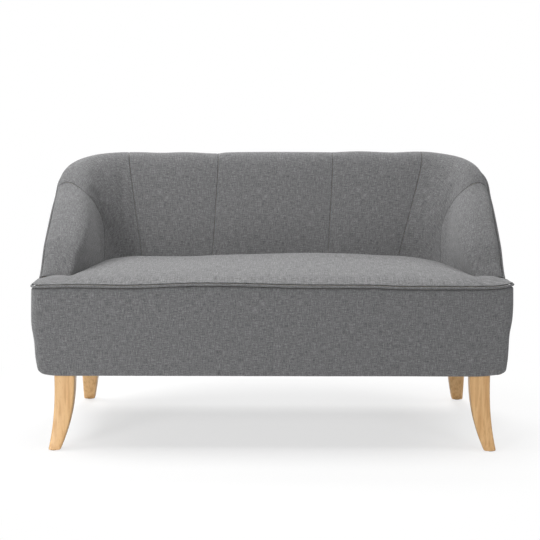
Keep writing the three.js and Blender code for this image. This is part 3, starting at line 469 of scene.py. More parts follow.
def cloth_map(points):
    """Where each grid point lies on the flat cloth, in metres, from the middle column and the first row."""
    u = lengths(points, 0)
    return np.stack([u - u[len(u) // 2], lengths(points, 1)], -1)


def grid_object(name, points, flat=None, look_to=None, wrap=False, held=None):
    """A sheet whose grid corners are set to points, with its cloth map, facing look_to."""
    columns, rows = points.shape[0] - 1, points.shape[1] - 1
    bm = bmesh.new()
    uv = bm.loops.layers.uv.new("UVMap")
    bmesh.ops.create_grid(bm, x_segments=columns, y_segments=rows, size=1)
    flat = cloth_map(points) if flat is None else flat
    place = {}
    kept = []
    for v in bm.verts:
        place[v] = (round((v.co.x + 1) / 2 * columns), round((v.co.y + 1) / 2 * rows))
        v.co = Vector(points[place[v]])
        if held is not None and held[place[v]]:
            kept.append(len(place) - 1)
    for face in bm.faces:
        for loop in face.loops:
            loop[uv].uv = flat[place[loop.vert]]
    if wrap:
        bmesh.ops.remove_doubles(bm, verts=bm.verts, dist=1e-6)
        bmesh.ops.holes_fill(bm, edges=bm.edges, sides=0)
    for face in bm.faces:
        face.smooth = True
    if look_to is not None:
        turn_to(bm, Vector(look_to))
    obj = new_object(name, bm)
    if held is not None:
        obj.vertex_groups.new(name=HELD).add(kept, 1.0, "REPLACE")
    return obj


def turn_to(bm, target):
    """Turns a sheet's faces round if they look away from a point."""
    bm.normal_update()
    towards = sum(f.normal.dot(target - f.calc_center_median()) * f.calc_area() for f in bm.faces)
    if towards < 0:
        bmesh.ops.reverse_faces(bm, faces=bm.faces)


def new_object(name, bm):
    mesh = bpy.data.meshes.new(name)
    bm.to_mesh(mesh)
    bm.free()
    obj = bpy.data.objects.new(name, mesh)
    bpy.context.scene.collection.objects.link(obj)
    return obj


def closed_pad(name, top, bottom):
    """A closed body between two grids of points, bridged round their edges."""
    bm = bmesh.new()
    for points in (top, bottom):
        columns, rows = points.shape[0] - 1, points.shape[1] - 1
        made = bmesh.ops.create_grid(bm, x_segments=columns, y_segments=rows, size=1)
        for v in made["verts"]:
            v.co = Vector(points[round((v.co.x + 1) / 2 * columns), round((v.co.y + 1) / 2 * rows)])
    rim = [edge for edge in bm.edges if edge.is_boundary]
    bmesh.ops.bridge_loops(bm, edges=rim)
    bmesh.ops.recalc_face_normals(bm, faces=bm.faces)
    for face in bm.faces:
        face.smooth = True
    return new_object(name, bm)


def subdivide(obj, levels=1):
    """Rounds a piece with a subdivision surface that keeps its edges where they are."""
    made = obj.modifiers.new("Rounding", "SUBSURF")
    made.levels = made.render_levels = levels
    made.boundary_smooth = "PRESERVE_CORNERS"


def thicken(obj, thickness):
    """Gives a sheet its thickness, on the side away from its face."""
    made = obj.modifiers.new("Thickness", "SOLIDIFY")
    made.thickness = thickness
    made.offset = -1
    made.use_even_offset = False


def settle(covers, pressure, cap, frames=20):
    """Lets covers swell together over their pads with their held points kept, and keeps the result."""
    rests = []
    for obj in covers:
        rests.append(np.array([v.co for v in obj.data.vertices]))
        cloth = obj.modifiers.new("Cloth", "CLOTH")
        cloth.settings.quality = 5
        cloth.settings.mass = 0.3
        cloth.settings.tension_stiffness = cloth.settings.compression_stiffness = 25
        cloth.settings.bending_stiffness = 1.5
        cloth.settings.vertex_group_mass = HELD
        cloth.settings.use_pressure = True
        cloth.settings.uniform_pressure_force = pressure
        cloth.settings.effector_weights.gravity = 0
        cloth.point_cache.frame_end = frames
    scene = bpy.context.scene
    for number in range(1, frames + 1):
        scene.frame_set(number)
    graph = bpy.context.evaluated_depsgraph_get()
    swollen = [np.array([v.co for v in obj.evaluated_get(graph).data.vertices]) for obj in covers]
    for obj, rest, reached in zip(covers, rests, swollen):
        moved = reached - rest
        far = np.linalg.norm(moved, axis=1, keepdims=True)
        print(obj.name, "swells by", round(float(far.max()) / MM, 2), "mm")
        kept = cap * np.tanh(far / cap) / np.maximum(far, 1e-12)
        obj.data.vertices.foreach_set("co", (rest + moved * kept).astype(np.float32).ravel())
        obj.modifiers.remove(obj.modifiers["Cloth"])
        obj.vertex_groups.remove(obj.vertex_groups[HELD])
        obj.data.update()
    scene.frame_set(1)


def seen_from_front(shell, points):
    """Moves points measured from the border's face into the model's frame."""
    return points + np.array([0.0, shell.front, 0.0])


def unevenness(points, size, height):
    """A slow rise and fall over a surface, as hand upholstery has."""
    flat = points.reshape(-1, 3)
    rise = [noise.noise(Vector(p) / size) for p in flat]
    return height * np.array(rise).reshape(points.shape[:-1])


def finish_piece(obj, material, replaced):
    obj.data.materials.clear()
    obj.data.materials.append(material)
    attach(obj, BODY)
    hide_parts(*replaced)


def cover_piece(obj, thickness, weave):
    """Rounds, thickens and finishes a cover, which stands for the node that it is named after."""
    subdivide(obj)
    thicken(obj, thickness)
    finish_piece(obj, weave, [obj.name.removesuffix("_woven")])


# Materials


def add_node(material, kind, settings=None, values=None, links=None):
    """Adds a shader node with its settings, its plain values and its links from other nodes or sockets."""
    made = material.node_tree.nodes.new("ShaderNode" + kind)
    for name, value in (settings or {}).items():
        setattr(made, name, value)
    for key, value in (values or {}).items():
        made.inputs[key].default_value = value
    for key, source in (links or {}).items():
        if isinstance(source, bpy.types.Node):
            source = next(socket for socket in source.outputs if socket.enabled)
        material.node_tree.links.new(source, made.inputs[key])
    return made


def start_material(name):
    material = bpy.data.materials.new(name)
    material.use_nodes = True
    material.node_tree.nodes.clear()
    return material


def finish_material(material, shader):
    add_node(material, "OutputMaterial", links={"Surface": shader})
    return material


def opaque(color):
    return (*color, 1)


def grain_noise(material, place, grain, noise, mapping=None, settings=None):
    """Noise whose patches have a real width, length and depth."""
    scale = tuple(1 / size for size in grain)
    stretched = add_node(material, "Mapping", None, {"Scale": scale, **(mapping or {})}, {"Vector": place})
    return add_node(material, "TexNoise", settings, {"Scale": 1.0, **noise}, {"Vector": stretched})


def crossed_threads(material, cloth, yarn):
    """The relief of a plain weave, whose warp and weft take turns on top a yarn's width apart."""
    split = add_node(material, "SeparateXYZ", links={0: cloth})
    waves = []
    for axis in (0, 1):
        phase = add_node(
            material, "Math", {"operation": "MULTIPLY"}, {1: math.pi / yarn}, {0: split.outputs[axis]},
        )
        waves.append(add_node(material, "Math", {"operation": "SINE"}, None, {0: phase}))
    return add_node(material, "Math", {"operation": "MULTIPLY"}, None, {0: waves[0], 1: waves[1]})


def melange_weave(name, turn, draw=1.0, painted_lift=1.0):
    """Wool-blend melange in a plain weave, woven from mixed grey yarns and stretched over foam.

    The eye gets a soft matt grey that breaks up into short dark and pale slubs along both threads, with a
    faint halo of loose fibre where the surface turns away. Where the warp runs front to back it is drawn
    longer, so that its grain still shows from a low eye. A copy's colours can be scaled paler, which is
    painted light: that copy looks more brightly lit than the lamps make it.
    """
    look = bpy.context.scene.settee_finish
    # Real yarns are about 0.9 mm and their slubs 10 mm long, which wouldn't show, so both are coarser here
    yarn = 1.8 * MM
    slub_width = 2.1 * MM
    slub_length = 20 * MM
    fleck = 2.5 * MM
    material = start_material(name)
    cloth = add_node(material, "TexCoord").outputs["UV"]
    threads = add_node(
        material, "Mapping", {"vector_type": "POINT"}, {"Rotation": (0, 0, turn)}, {"Vector": cloth},
    )
    grains = ((slub_width, slub_length), (slub_length, slub_width), (fleck, fleck))
    tones = [
        grain_noise(
            material, threads, (wide, draw * long, 1), {"Detail": 3.0, "Roughness": 0.7},
            {"Location": (3.7 * seed, 1.9 * seed, seed)}, {"noise_dimensions": "2D"},
        ) for seed, (wide, long) in enumerate(grains)
    ]
    slubs = add_node(material, "Math", {"operation": "ADD"}, None, {0: tones[0], 1: tones[1]})
    blend = add_node(
        material, "Math", {"operation": "MULTIPLY_ADD"}, {1: FLECK_SHARE}, {0: tones[2], 2: slubs},
    )
    middle = 1 + FLECK_SHARE / 2
    spread = 0.46
    dark = add_node(
        material, "MapRange", None,
        {"From Min": middle - spread, "From Max": middle, "To Min": 1.0, "To Max": 0.0}, {"Value": blend},
    )
    pale = add_node(
        material, "MapRange", None, {"From Min": middle, "From Max": middle + spread}, {"Value": blend},
    )
    color = add_node(
        material, "Mix", {"data_type": "RGBA"}, {6: opaque(look.yarn), 7: opaque(look.dark_yarn)}, {0: dark},
    )
    color = add_node(
        material, "Mix", {"data_type": "RGBA"}, {7: opaque(look.pale_yarn)}, {0: pale, 6: color},
    )
    # Painted light: the colours are scaled up, so the copy looks more brightly lit than the lamps make it
    color = add_node(material, "VectorMath", {"operation": "SCALE"}, {"Scale": painted_lift}, {0: color})
    weave = crossed_threads(material, threads, yarn)
    height = add_node(material, "Math", {"operation": "MULTIPLY_ADD"}, {1: 0.5}, {0: weave, 2: tones[2]})
    bump = add_node(material, "Bump", None, {"Strength": 0.55, "Distance": 0.5 * MM}, {"Height": height})
    shader = add_node(
        material, "BsdfPrincipled", None,
        {
            "Roughness": 0.92, "IOR": 1.5, "Specular IOR Level": 0.2, "Sheen Weight": 0.12,
            "Sheen Roughness": 0.45, "Diffuse Roughness": 0.6,
        },
        {"Base Color": color, "Normal": bump},
    )
    return finish_material(material, shader)


def lacquered_beech(name):
    """Steamed beech, band-sawn, sanded and clear lacquered.

    The eye gets a warm pale wood with straight faint grain down the leg, short dark pore flecks and a
    satin glint on the rounded edges.
    """
    look = bpy.context.scene.settee_finish
    material = start_material(name)
    place = add_node(material, "TexCoord").outputs["Object"]
    lines = grain_noise(
        material, place, (7 * MM, 7 * MM, 240 * MM), {"Detail": 4.0, "Roughness": 0.55, "Distortion": 0.35},
        {"Rotation": (0.12, 0.08, 0.5)},
    )
    # Beech flecks are 1 to 3 mm long; they are drawn 2 mm wide, so that they show
    fleck = grain_noise(material, place, (2 * MM, 2 * MM, 14 * MM), {"Detail": 1.0})
    share = add_node(
        material, "MapRange", {"interpolation_type": "SMOOTHSTEP"},
        {"From Min": 0.4, "From Max": 0.72, "To Max": 0.75}, {"Value": lines},
    )
    pore = add_node(
        material, "MapRange", {"interpolation_type": "SMOOTHSTEP"},
        {"From Min": 0.6, "From Max": 0.75, "To Max": 0.5}, {"Value": fleck},
    )
    color = add_node(
        material, "Mix", {"data_type": "RGBA"},
        {6: opaque(look.leg_wood), 7: opaque(look.leg_grain)}, {0: share},
    )
    color = add_node(
        material, "Mix", {"data_type": "RGBA"}, {7: opaque(look.leg_grain)}, {0: pore, 6: color},
    )
    rough = add_node(material, "MapRange", None, {"To Min": 0.34, "To Max": 0.48}, {"Value": lines})
    bump = add_node(material, "Bump", None, {"Strength": 0.2, "Distance": 0.3 * MM}, {"Height": lines})
    shader = add_node(
        material, "BsdfPrincipled", None, {"IOR": 1.5, "Coat Weight": 0.25, "Coat Roughness": 0.3},
        {"Base Color": color, "Roughness": rough, "Normal": bump},
    )
    return finish_material(material, shader)


def speckled(name, low, high, size, roughness, bump_depth, values=None, stretch=(1, 1, 1)):
    """A material whose tone and relief wander between two colours over a real grain size."""
    material = start_material(name)
    place = add_node(material, "TexCoord").outputs["Object"]
    grain = [size * share for share in stretch]
    tone = grain_noise(material, place, grain, {"Detail": 3.0, "Roughness": 0.6})
    share = add_node(
        material, "MapRange", {"interpolation_type": "SMOOTHSTEP"}, {"From Min": 0.35, "From Max": 0.65},
        {"Value": tone},
    )
    color = add_node(
        material, "Mix", {"data_type": "RGBA"},
        {6: opaque(linear(low)), 7: opaque(linear(high))}, {0: share},
    )
    spread = 0.06
    rough = add_node(
        material, "MapRange", None,
        {"To Min": roughness - spread, "To Max": min(1.0, roughness + spread)}, {"Value": tone},
    )
    bump = add_node(material, "Bump", None, {"Strength": 0.5, "Distance": bump_depth}, {"Height": tone})
    shader = add_node(
        material, "BsdfPrincipled", None, values, {"Base Color": color, "Roughness": rough, "Normal": bump},
    )
    return finish_material(material, shader)


def open_weave(name, pale, dark, pitch, roughness):
    """A plain cloth whose crossing threads show as a fine checked relief over its own map."""
    material = start_material(name)
    cloth = add_node(material, "TexCoord").outputs["UV"]
    weave = crossed_threads(material, cloth, pitch)
    share = add_node(material, "MapRange", None, {"From Min": -1.0, "From Max": 1.0}, {"Value": weave})
    color = add_node(
        material, "Mix", {"data_type": "RGBA"},
        {6: opaque(linear(dark)), 7: opaque(linear(pale))}, {0: share},
    )
    bump = add_node(material, "Bump", None, {"Strength": 0.5, "Distance": 0.4 * MM}, {"Height": share})
    shader = add_node(
        material, "BsdfPrincipled", None, {"Roughness": roughness, "Sheen Weight": 0.1},
        {"Base Color": color, "Normal": bump},
    )
    return finish_material(material, shader)


def shared(name, maker, *values):
    """The material of that name, made the first time that it is asked for."""
    return bpy.data.materials.get(name) or maker(name, *values)


def cover_weave():
    return shared("wool_melange_plain_weave", melange_weave, 0.0)


def seat_weave():
    # The seat's copy is painted 7 per cent paler, as painted light on its upward face beyond what the lamps
    # give
    return shared("wool_melange_warp_forward", melange_weave, 0.0, 3.0, 1.07)


def piping_weave():
    # Piping is cut on the bias, so its threads run at 45 degrees
    return shared("wool_melange_bias_cut", melange_weave, math.pi / 4)


# Operators


def sizes():
    return bpy.context.scene.settee_sizes


def steps(span, pitch):
    """How many even steps over a physical span are no longer than a pitch."""
    return max(2, math.ceil(span / pitch))


def even(start, end, pitch):
    """Evenly spaced lengths, no further apart than a pitch."""
    return np.linspace(start, end, steps(abs(end - start), pitch) + 1)


def crowded(near, count):
    """Shares from 0 to 1: the given ones near both ends, and evenly spaced steps between them."""
    near = np.asarray(near)
    return np.concatenate([near[:-1], np.linspace(near[-1], 1 - near[-1], count + 1), 1 - near[-2::-1]])


def seam_columns(width, pitch):
    """Shares across a panel: close together beside its two seams, then evenly spaced."""
    return crowded(np.array([0, 0.5, 1.2, 2.2, 3.6, 5.6, 8.6]) * MM / width, steps(width, pitch))


def turned_in(distance, depth, radius):
    """How far a cover has turned down into its seam at a distance from it."""
    return depth * (1 - np.sqrt(1 - (1 - unit(distance / radius)) ** 2))


SEAT_MIDDLE = (0, -0.4, 0.9)
PANEL_FOAMS = ("left_side_foam",) * 2 + ("back_foam",) * 3 + ("right_side_foam",) * 2
PANELS = (
    "left_arm_cover", "left_corner_cover", "left_back_cover", "centre_back_cover",
    "right_back_cover", "right_corner_cover", "right_arm_cover",
)


def panel_seams(t):
    """The travel of the eight seams and toe ends, for each place down the profile."""
    arm_seam = read_table(ARM_SEAM_SHARES, t)
    level = 0 * arm_seam
    return np.stack([
        level, arm_seam, level + 2, level + 3, level + 5, level + 6, ROUND - arm_seam, level + ROUND,
    ])


def panel_puff(shell, w, t):
    """How far the face stands off between its seams: fullest below the roll, and nothing at the seat."""
    seams = panel_seams(t)
    index = np.sum(w >= seams[1:-1], axis=0)
    start = np.take_along_axis(seams, index[None], 0)[0]
    end = np.take_along_axis(seams, index[None] + 1, 0)[0]
    across = unit((w - start) / (end - start))
    bolster = read_table(BOLSTER_DROP_SHARES, t) * read_table(BOLSTER_RUN_SHARES, near_toe(w))
    puff = np.sin(np.pi * across) ** PUFF_FULLNESS_SHARE
    puff = puff * np.sin(np.pi * unit(t / 2) ** PUFF_DROP_SHARE)
    return shell.s.panel_puff * puff + shell.s.arm_bolster * bolster


# Places down the profile: close together beside the rim, then over the roll and down the face
PROFILE = np.concatenate([
    [0, 0.012, 0.03, 0.055], np.linspace(0.09, 1, 15), np.linspace(1, 2, 40)[1:], np.linspace(2, 3, 8)[1:],
])


def panel_grid(shell, index):
    """Points of one inside panel's face, and which of them its seams and the seat hold."""
    s = shell.s
    start, end = panel_seams(PROFILE)[index:index + 2]
    middle = np.argmin(np.abs(PROFILE - FULLEST))
    rough = shell.face_point(np.linspace(start[middle], end[middle], 60), PROFILE[middle])
    width = lengths(rough[:, None], 0)[-1, 0]
    gap = SEAM_GAP / 2 / width
    share = lerp(gap, 1 - gap, seam_columns(width, COVER_PITCH))[:, None]
    w = lerp(start, end, share)
    t = np.broadcast_to(PROFILE, w.shape)
    points = shell.face_point(w, t)
    to_start = lengths(points, 0)
    to_end = to_start[-1] - to_start
    from_side = np.minimum(to_start, to_end)
    # The toe ends of the arm covers aren't sewn to a neighbour
    from_seam = {0: to_end, len(PANELS) - 1: to_start}.get(index, from_side)
    puff = panel_puff(shell, w, t)
    soft_end, groove_fade = 1.6, 0.2
    soft = unevenness(points, *PANEL_UNEVENNESS) * unit(from_seam / SEAM_CALM) * (1 - unit(t - soft_end))
    # The seams' grooves die out just below the seat line
    groove = turned_in(from_seam, s.seam_depth, s.seam_radius) * (1 - unit((t - 2) / groove_fade))
    depth = shell.groove_depth(w)
    from_rim = lengths(points, 1)
    flange, groove_width = 2 * MM, 1.3 * depth
    edge = depth * turned_in(from_rim, 1, groove_width)
    edge = edge * lerp(FLANGE_SHARE, 1, unit(from_rim / flange))
    points = points + grid_normals(points) * (puff + soft - groove - edge)[..., None]
    # The seams, the seat and the rim hold the cover, the rim further down along the arms
    seam_hold, seat_hold, rim_hold, arm_hold = 7 * MM, 1.85, 0.05, 0.4
    held = (from_side < seam_hold) | (t > seat_hold)
    held |= t < rim_hold + arm_hold * unit(2 - near_toe(w))
    return seen_from_front(shell, points), held


class SETTEE_OT_inside_covers(Operator):
    """Makes the seven sewn inside covers, from toe to toe, and lets them swell over their foam"""

    bl_idname = "settee.inside_covers"
    bl_label = "Inside covers"

    def execute(self, context):
        shell = Shell(sizes())
        covers = []
        for index, name in enumerate(PANELS):
            points, held = panel_grid(shell, index)
            covers.append(grid_object(name + "_woven", points, look_to=SEAT_MIDDLE, held=held))
        settle(covers, pressure=1.2, cap=3.5 * MM)
        for obj, foam in zip(covers, PANEL_FOAMS):
            cover_piece(obj, COVER, cover_weave())
        return {"FINISHED"}


def seat_wall(shell, w):
    """The line where the seat meets the arms and back."""
    return shell.inside_at(w, np.full_like(w, shell.s.seat_line))


def gap_to(line, x, y):
    """How far each plan place is from a line of points."""
    return np.min(np.hypot(x[..., None] - line[:, 0], y[..., None] - line[:, 1]), axis=-1)


def seat_wave(shell, x, y):
    """How far the seat's piped edge is drawn up or down at plan places, dying out behind the ears."""
    s = shell.s
    back = unit(y / s.ear_depth)
    outer = 1 - unit((shell.half_border - np.abs(x)) / s.seat_edge_roll)
    share = read_table(SEAT_WAVE_SHARES, x / shell.half_border)
    return s.seat_wave * share * (1 - back) - s.ear_droop * outer * outer * back


def seat_rise(shell, x, y):
    """Height of the seat above its piped edge, and each place's gap to the wall and to that edge."""
    s = shell.s
    gap = gap_to(seat_wall(shell, np.linspace(0, ROUND, 400)), x, y)
    free, _ = border_path(shell, COVER_PITCH)
    from_edge = gap_to(free, x, y)
    sideways = lerp(EAR_CROWN_SHARE, 1, 1 - (x / shell.half_border) ** 2)
    rolled = 1 - (1 - unit(from_edge / s.seat_edge_roll)) ** 2
    dip = (1 - unit(gap / SEAT_DIP_REACH)) ** 2
    rear = unit((y - s.ear_depth) / (s.seat_depth - s.ear_depth))
    slump = s.seat_slump * read_table(SEAT_SLUMP_SHARES, x / shell.half_border) * smooth(rear)
    rise = s.seat_crown * sideways * rolled - s.seat_tuck * dip - slump
    edge = (1 - unit((from_edge - SEAT_SETBACK) / s.seat_edge_roll)) ** 2
    return rise + seat_wave(shell, x, y) * edge, gap, from_edge


def seat_grid(shell, inset, columns, rows):
    """Plan places over the seat, from its front edge to the arms and back, round both ears."""
    s = shell.s
    side = shell.half_border - inset
    turn, inner = np.linspace(0, np.pi / 2, 7)[:-1], 8
    round_ear = s.ear_radius * (1 - np.cos(turn)) - side
    ear_x = np.concatenate([round_ear, np.linspace(s.ear_radius - side, -shell.toe_x, inner + 1)[:-1]])
    ear_front = inset + s.ear_radius * np.concatenate([1 - np.sin(turn), np.zeros(inner)])
    wall = seat_wall(shell, columns)
    x = np.concatenate([ear_x, wall[:, 0] - np.sign(wall[:, 0]) * CLEARANCE, -ear_x[::-1]])
    front = np.concatenate([ear_front, np.full(len(columns), inset), ear_front[::-1]])
    ear_back = np.full(len(ear_x), s.ear_depth - CLEARANCE)
    back = np.concatenate([ear_back, wall[:, 1] - CLEARANCE, ear_back])
    y = lerp(front[:, None], back[:, None], rows[None, :])
    return np.broadcast_to(x[:, None], y.shape).copy(), y


def seat_columns(pitch):
    """Travel round the seat's wall whose spacing across the seat is no more than a pitch."""
    # Length of the arm, the corner, the back panel and half the centre panel, and the columns added there
    runs = ((57 * MM, 3), (150 * MM, 1), (230 * MM, -1), (173 * MM, -1))
    left = [np.zeros(1)]
    for index, (run, more) in enumerate(runs):
        left.append(np.linspace(index, index + 1, math.ceil(run / pitch) + more + 1)[1:])
    left = np.concatenate(left)
    return np.concatenate([left, ROUND - left[-2::-1]])


class SETTEE_OT_seat_cover(Operator):
    """Makes the crowned seat cover with its ears, tucked down at the arms and back"""

    bl_idname = "settee.seat_cover"
    bl_label = "Seat cover"

    def execute(self, context):
        shell = Shell(sizes())
        s = shell.s
        rows = crowded(np.array([0, 0.6, 1.5, 2.8, 4.6, 7, 10.5]) * MM / s.seat_depth, 45)
        x, y = seat_grid(shell, SEAT_SETBACK, seat_columns(SEAT_PITCH), rows)
        rise, gap, from_edge = seat_rise(shell, x, y)
        top = s.seat_line + s.welt / 2 + CLEARANCE + COVER + rise
        top = top - turned_in(from_edge - SEAT_SETBACK, *SEAT_EDGE_FOLD) - turned_in(gap, *SEAT_TUCK_FOLD)
        points = np.stack([x, y, top], -1)
        inside = unit(np.minimum(from_edge, gap) / SEAT_CALM)
        points[..., 2] += unevenness(points, *SEAT_UNEVENNESS) * inside
        obj = grid_object("seat_cover_woven", seen_from_front(shell, points), look_to=(0, 0, 2))
        cover_piece(obj, COVER, seat_weave())
        return {"FINISHED"}


def border_path(shell, pitch):
    """The border's plan line round the seat box, as places and their outward directions."""
    s = shell.s
    tuck = 5 * MM
    back = s.ear_depth - CLEARANCE
    turn = np.linspace(0, np.pi / 2, 6)
    behind = np.stack([-shell.half_border + tuck * (1 - np.sin(turn)), back - tuck * (1 - np.cos(turn))], -1)
    behind_out = np.stack([-np.sin(turn), np.cos(turn)], -1)
    inner = np.array([[-shell.half_border + 3 * tuck, back]])
    side = even(back - tuck, s.ear_radius, pitch)[1:-1]
    arc = np.linspace(0, np.pi / 2, 9)
    arc_out = np.stack([-np.cos(arc), -np.sin(arc)], -1)
    arc_place = np.array([s.ear_radius - shell.half_border, s.ear_radius]) + s.ear_radius * arc_out
    places = [inner, behind, np.stack([np.full_like(side, -shell.half_border), side], -1), arc_place]
    outs = [np.array([[0.0, 1.0]]), behind_out, np.tile([-1.0, 0.0], (len(side), 1)), arc_out]
    half = shell.half_border - s.ear_radius
    front = even(-half, half, pitch)[1:-1]
    flip = np.array([-1.0, 1.0])
    left, left_out = np.concatenate(places), np.concatenate(outs)
    middle = np.stack([front, np.zeros_like(front)], -1)
    return (
        np.concatenate([left, middle, left[::-1] * flip]),
        np.concatenate([left_out, np.tile([0.0, -1.0], (len(front), 1)), left_out[::-1] * flip]),
    )


def hem_draw(shell, z, sideways):
    """How far the outer covers draw in at a height, sideways from the left (-1) to the right (1)."""
    s = shell.s
    up = unit((z - s.underside - CLEARANCE) / s.hem_reach)
    right = (1 + sideways) / 2
    return s.hem_tuck * lerp(read_table(LEFT_HEM_SHARES, up), read_table(RIGHT_HEM_SHARES, up), right)


def swell(shell, most, z, top):
    """How far an outer cover swells at a height, from its hem up to its top."""
    return most * np.sin(np.pi * (z - shell.hem) / (top - shell.hem))


class SETTEE_OT_front_border(Operator):
    """Makes the deep border round the front of the seat box and its ears"""

    bl_idname = "settee.front_border"
    bl_label = "Front border"

    def execute(self, context):
        shell = Shell(sizes())
        s = shell.s
        place, out = border_path(shell, OUTER_PITCH)
        top = s.seat_line + s.seat_welt_lift - s.seat_welt / 2 - PIPING_RECESS
        height = top - shell.hem
        near = np.array([0, 0.8, 1.8, 3.2, 5.2, 8]) * MM / height
        z = lerp(shell.hem, top, crowded(near, steps(height, OUTER_PITCH)))
        sideways = place[:, :1] / shell.half_border
        reach = swell(shell, s.border_swell, z, top) - hem_draw(shell, z, sideways)
        fold = turned_in(top - z, *BORDER_TOP_FOLD) + turned_in(z - shell.hem, *HEM_FOLD)
        # Behind the ears the border only shifts sideways, so that it stays against the outside cover
        behind = out[:, 1:] > 0.1
        sidestep = np.where(behind, np.sign(place[:, :1]) * np.array([[1.0, 0.0]]), out)
        plan = place[:, None] + sidestep[:, None] * reach[..., None] - out[:, None] * fold[:, None]
        points = np.concatenate([plan, np.broadcast_to(z[:, None], (len(place), len(z), 1))], -1)
        run = lerp(LEFT_CORNER_RUN, RIGHT_CORNER_RUN, (1 + sideways) / 2)
        corner = 1 - unit((1 - np.abs(sideways)) * shell.half_border / run)
        corner = corner * (1 - unit((place[:, 1:] - s.ear_radius) / CORNER_DEPTH))
        points[..., 2] += s.corner_lift * corner ** 2 * (1 - unit((z - shell.hem) / CORNER_HEIGHT))
        drawn = unit((z - top) / WAVE_HEIGHT + 1) ** 2
        points[..., 2] += seat_wave(shell, place[:, None, 0], place[:, None, 1]) * drawn
        uneven = unevenness(points, *BORDER_UNEVENNESS) * unit((top - z) / BORDER_CALM)
        points[..., :2] += out[:, None] * uneven[..., None]
        obj = grid_object("front_border_woven", seen_from_front(shell, points))
        look_away(obj, Vector((0, 0.3, 0.3)))
        cover_piece(obj, OUTER_COVER, cover_weave())
        return {"FINISHED"}


OUTSIDES = (("left_outside_cover", 0, 2), ("outside_back_cover", 2, 6), ("right_outside_cover", 6, 8))


class SETTEE_OT_outside_covers(Operator):
    """Makes the two outside arm covers and the outside back, pulled tight from rim to underside"""

    bl_idname = "settee.outside_covers"
    bl_label = "Outside covers"

    def execute(self, context):
        shell = Shell(sizes())
        s = shell.s
        down = crowded([0, 0.004, 0.01, 0.018, 0.03], 41)
        for name, start, end in OUTSIDES:
            line = shell.frame_point(np.linspace(start, end, 200), s.rim_height, 0.0)
            width = lengths(line[:, None], 0)[-1, 0]
            share = seam_columns(width, OUTER_PITCH)
            gap = SEAM_GAP / 2 / width
            w = travel_at(shell, start, end, lerp(gap, 1 - gap, share))[:, None]
            top = shell.rim(w) - shell.edge_gap(w)
            z = lerp(shell.hem, top, down)
            sideways = shell.frame_at(w, s.rim_height)[..., 0] / shell.half_border
            reach = OUTER_COVER + swell(shell, s.outside_swell, z, top) - hem_draw(shell, z, sideways)
            reach = reach - turned_in(top - z, *OUTSIDE_TOP_FOLD) - turned_in(z - shell.hem, *HEM_FOLD)
            from_seam = np.minimum(share, 1 - share)[:, None] * width
            reach = reach - turned_in(from_seam, s.seam_depth, s.seam_radius)
            points = shell.frame_point(np.broadcast_to(w, z.shape), z, reach)
            obj = grid_object(name + "_woven", seen_from_front(shell, points))
            look_away(obj, Vector((0, 0, 0.4)))
            cover_piece(obj, OUTER_COVER, cover_weave())
        return {"FINISHED"}


def travel_at(shell, start, end, shares):
    """The travel at shares of the rim's length between two places, so that columns are evenly spaced."""
    w = np.linspace(start, end, 600)
    run = lengths(shell.frame_point(w, shell.s.rim_height, 0.0)[:, None], 0)[:, 0]
    return np.interp(shares * run[-1], run, w)


def look_away(obj, inside):
    """Turns a cover's faces to look away from a point inside the settee."""
    mesh = obj.data
    towards = sum(f.normal.dot(inside - f.center) * f.area for f in mesh.polygons)
    if towards > 0:
        mesh.flip_normals()


def cord_points(centre, out, up, diameter, sides=12):
    """Rings of a round cord's surface along a path, from its outward and upward directions."""
    angle = np.linspace(0, math.tau, sides + 1)
    ring = np.cos(angle)[None, :, None] * out[:, None] + np.sin(angle)[None, :, None] * up[:, None]
    return centre[:, None] + ring * diameter / 2


def cord_map(centre, diameter, sides=12):
    """The bias strip's flat map along and round a cord."""
    along = lengths(centre[:, None], 0)[:, 0]
    girth = np.linspace(0, math.pi * diameter, sides + 1)
    return np.stack(np.broadcast_arrays(along[:, None] - along.mean(), girth[None, :]), -1)


class SETTEE_OT_piping(Operator):
    """Makes the piping round the rim and along the seat's front edge, from a bias strip over cord"""

    bl_idname = "settee.piping"
    bl_label = "Piping"

    def execute(self, context):
        shell = Shell(sizes())
        s = shell.s
        w = travel_at(shell, 0, ROUND, np.linspace(0, 1, 420))
        right = np.where(w > MIDDLE, RIGHT_SET_IN_SHARE, 1)
        reach = s.welt_stand_off - s.arm_welt_set_in * right * unit(2 - near_toe(w))
        centre = shell.frame_point(w, shell.rim(w), reach)
        step = 10 * MM
        out = (centre - shell.frame_point(w, shell.rim(w), reach - step)) / step
        along = np.gradient(centre, axis=0)
        up = np.cross(along, out)
        up /= np.linalg.norm(up, axis=1, keepdims=True)
        up *= np.sign(up[:, 2:])
        place, away = border_path(shell, OUTER_PITCH / 2)
        level = s.seat_line + s.seat_welt_lift + seat_wave(shell, place[:, 0], place[:, 1])[:, None]
        seat = np.concatenate([place - away * s.seat_welt_set_in, level], -1)
        seat_out = np.concatenate([away, 0 * level], -1)
        seat_up = np.tile([0.0, 0.0, 1.0], (len(place), 1))
        runs = (
            ("rim_piping", centre, out, up, s.welt),
            ("seat_piping", seat, seat_out, seat_up, s.seat_welt),
        )
        for name, middle, outward, upward, diameter in runs:
            rings = cord_points(middle, outward, upward, diameter)
            flat = cord_map(middle, diameter)
            obj = grid_object(name + "_woven", seen_from_front(shell, rings), flat, wrap=True)
            look_out(obj)
            finish_piece(obj, piping_weave(), [name])
        return {"FINISHED"}


def look_out(obj):
    """Turns a closed piece's faces outwards."""
    bm = bmesh.new()
    bm.from_mesh(obj.data)
    bmesh.ops.recalc_face_normals(bm, faces=bm.faces)
    bm.to_mesh(obj.data)
    bm.free()


UPRIGHT_FOAMS = (
    # name, travel at its start and end, columns
    ("left_side_foam", 0, 2, 26), ("back_foam", 2, 6, 60), ("right_side_foam", 6, 8, 26),
)


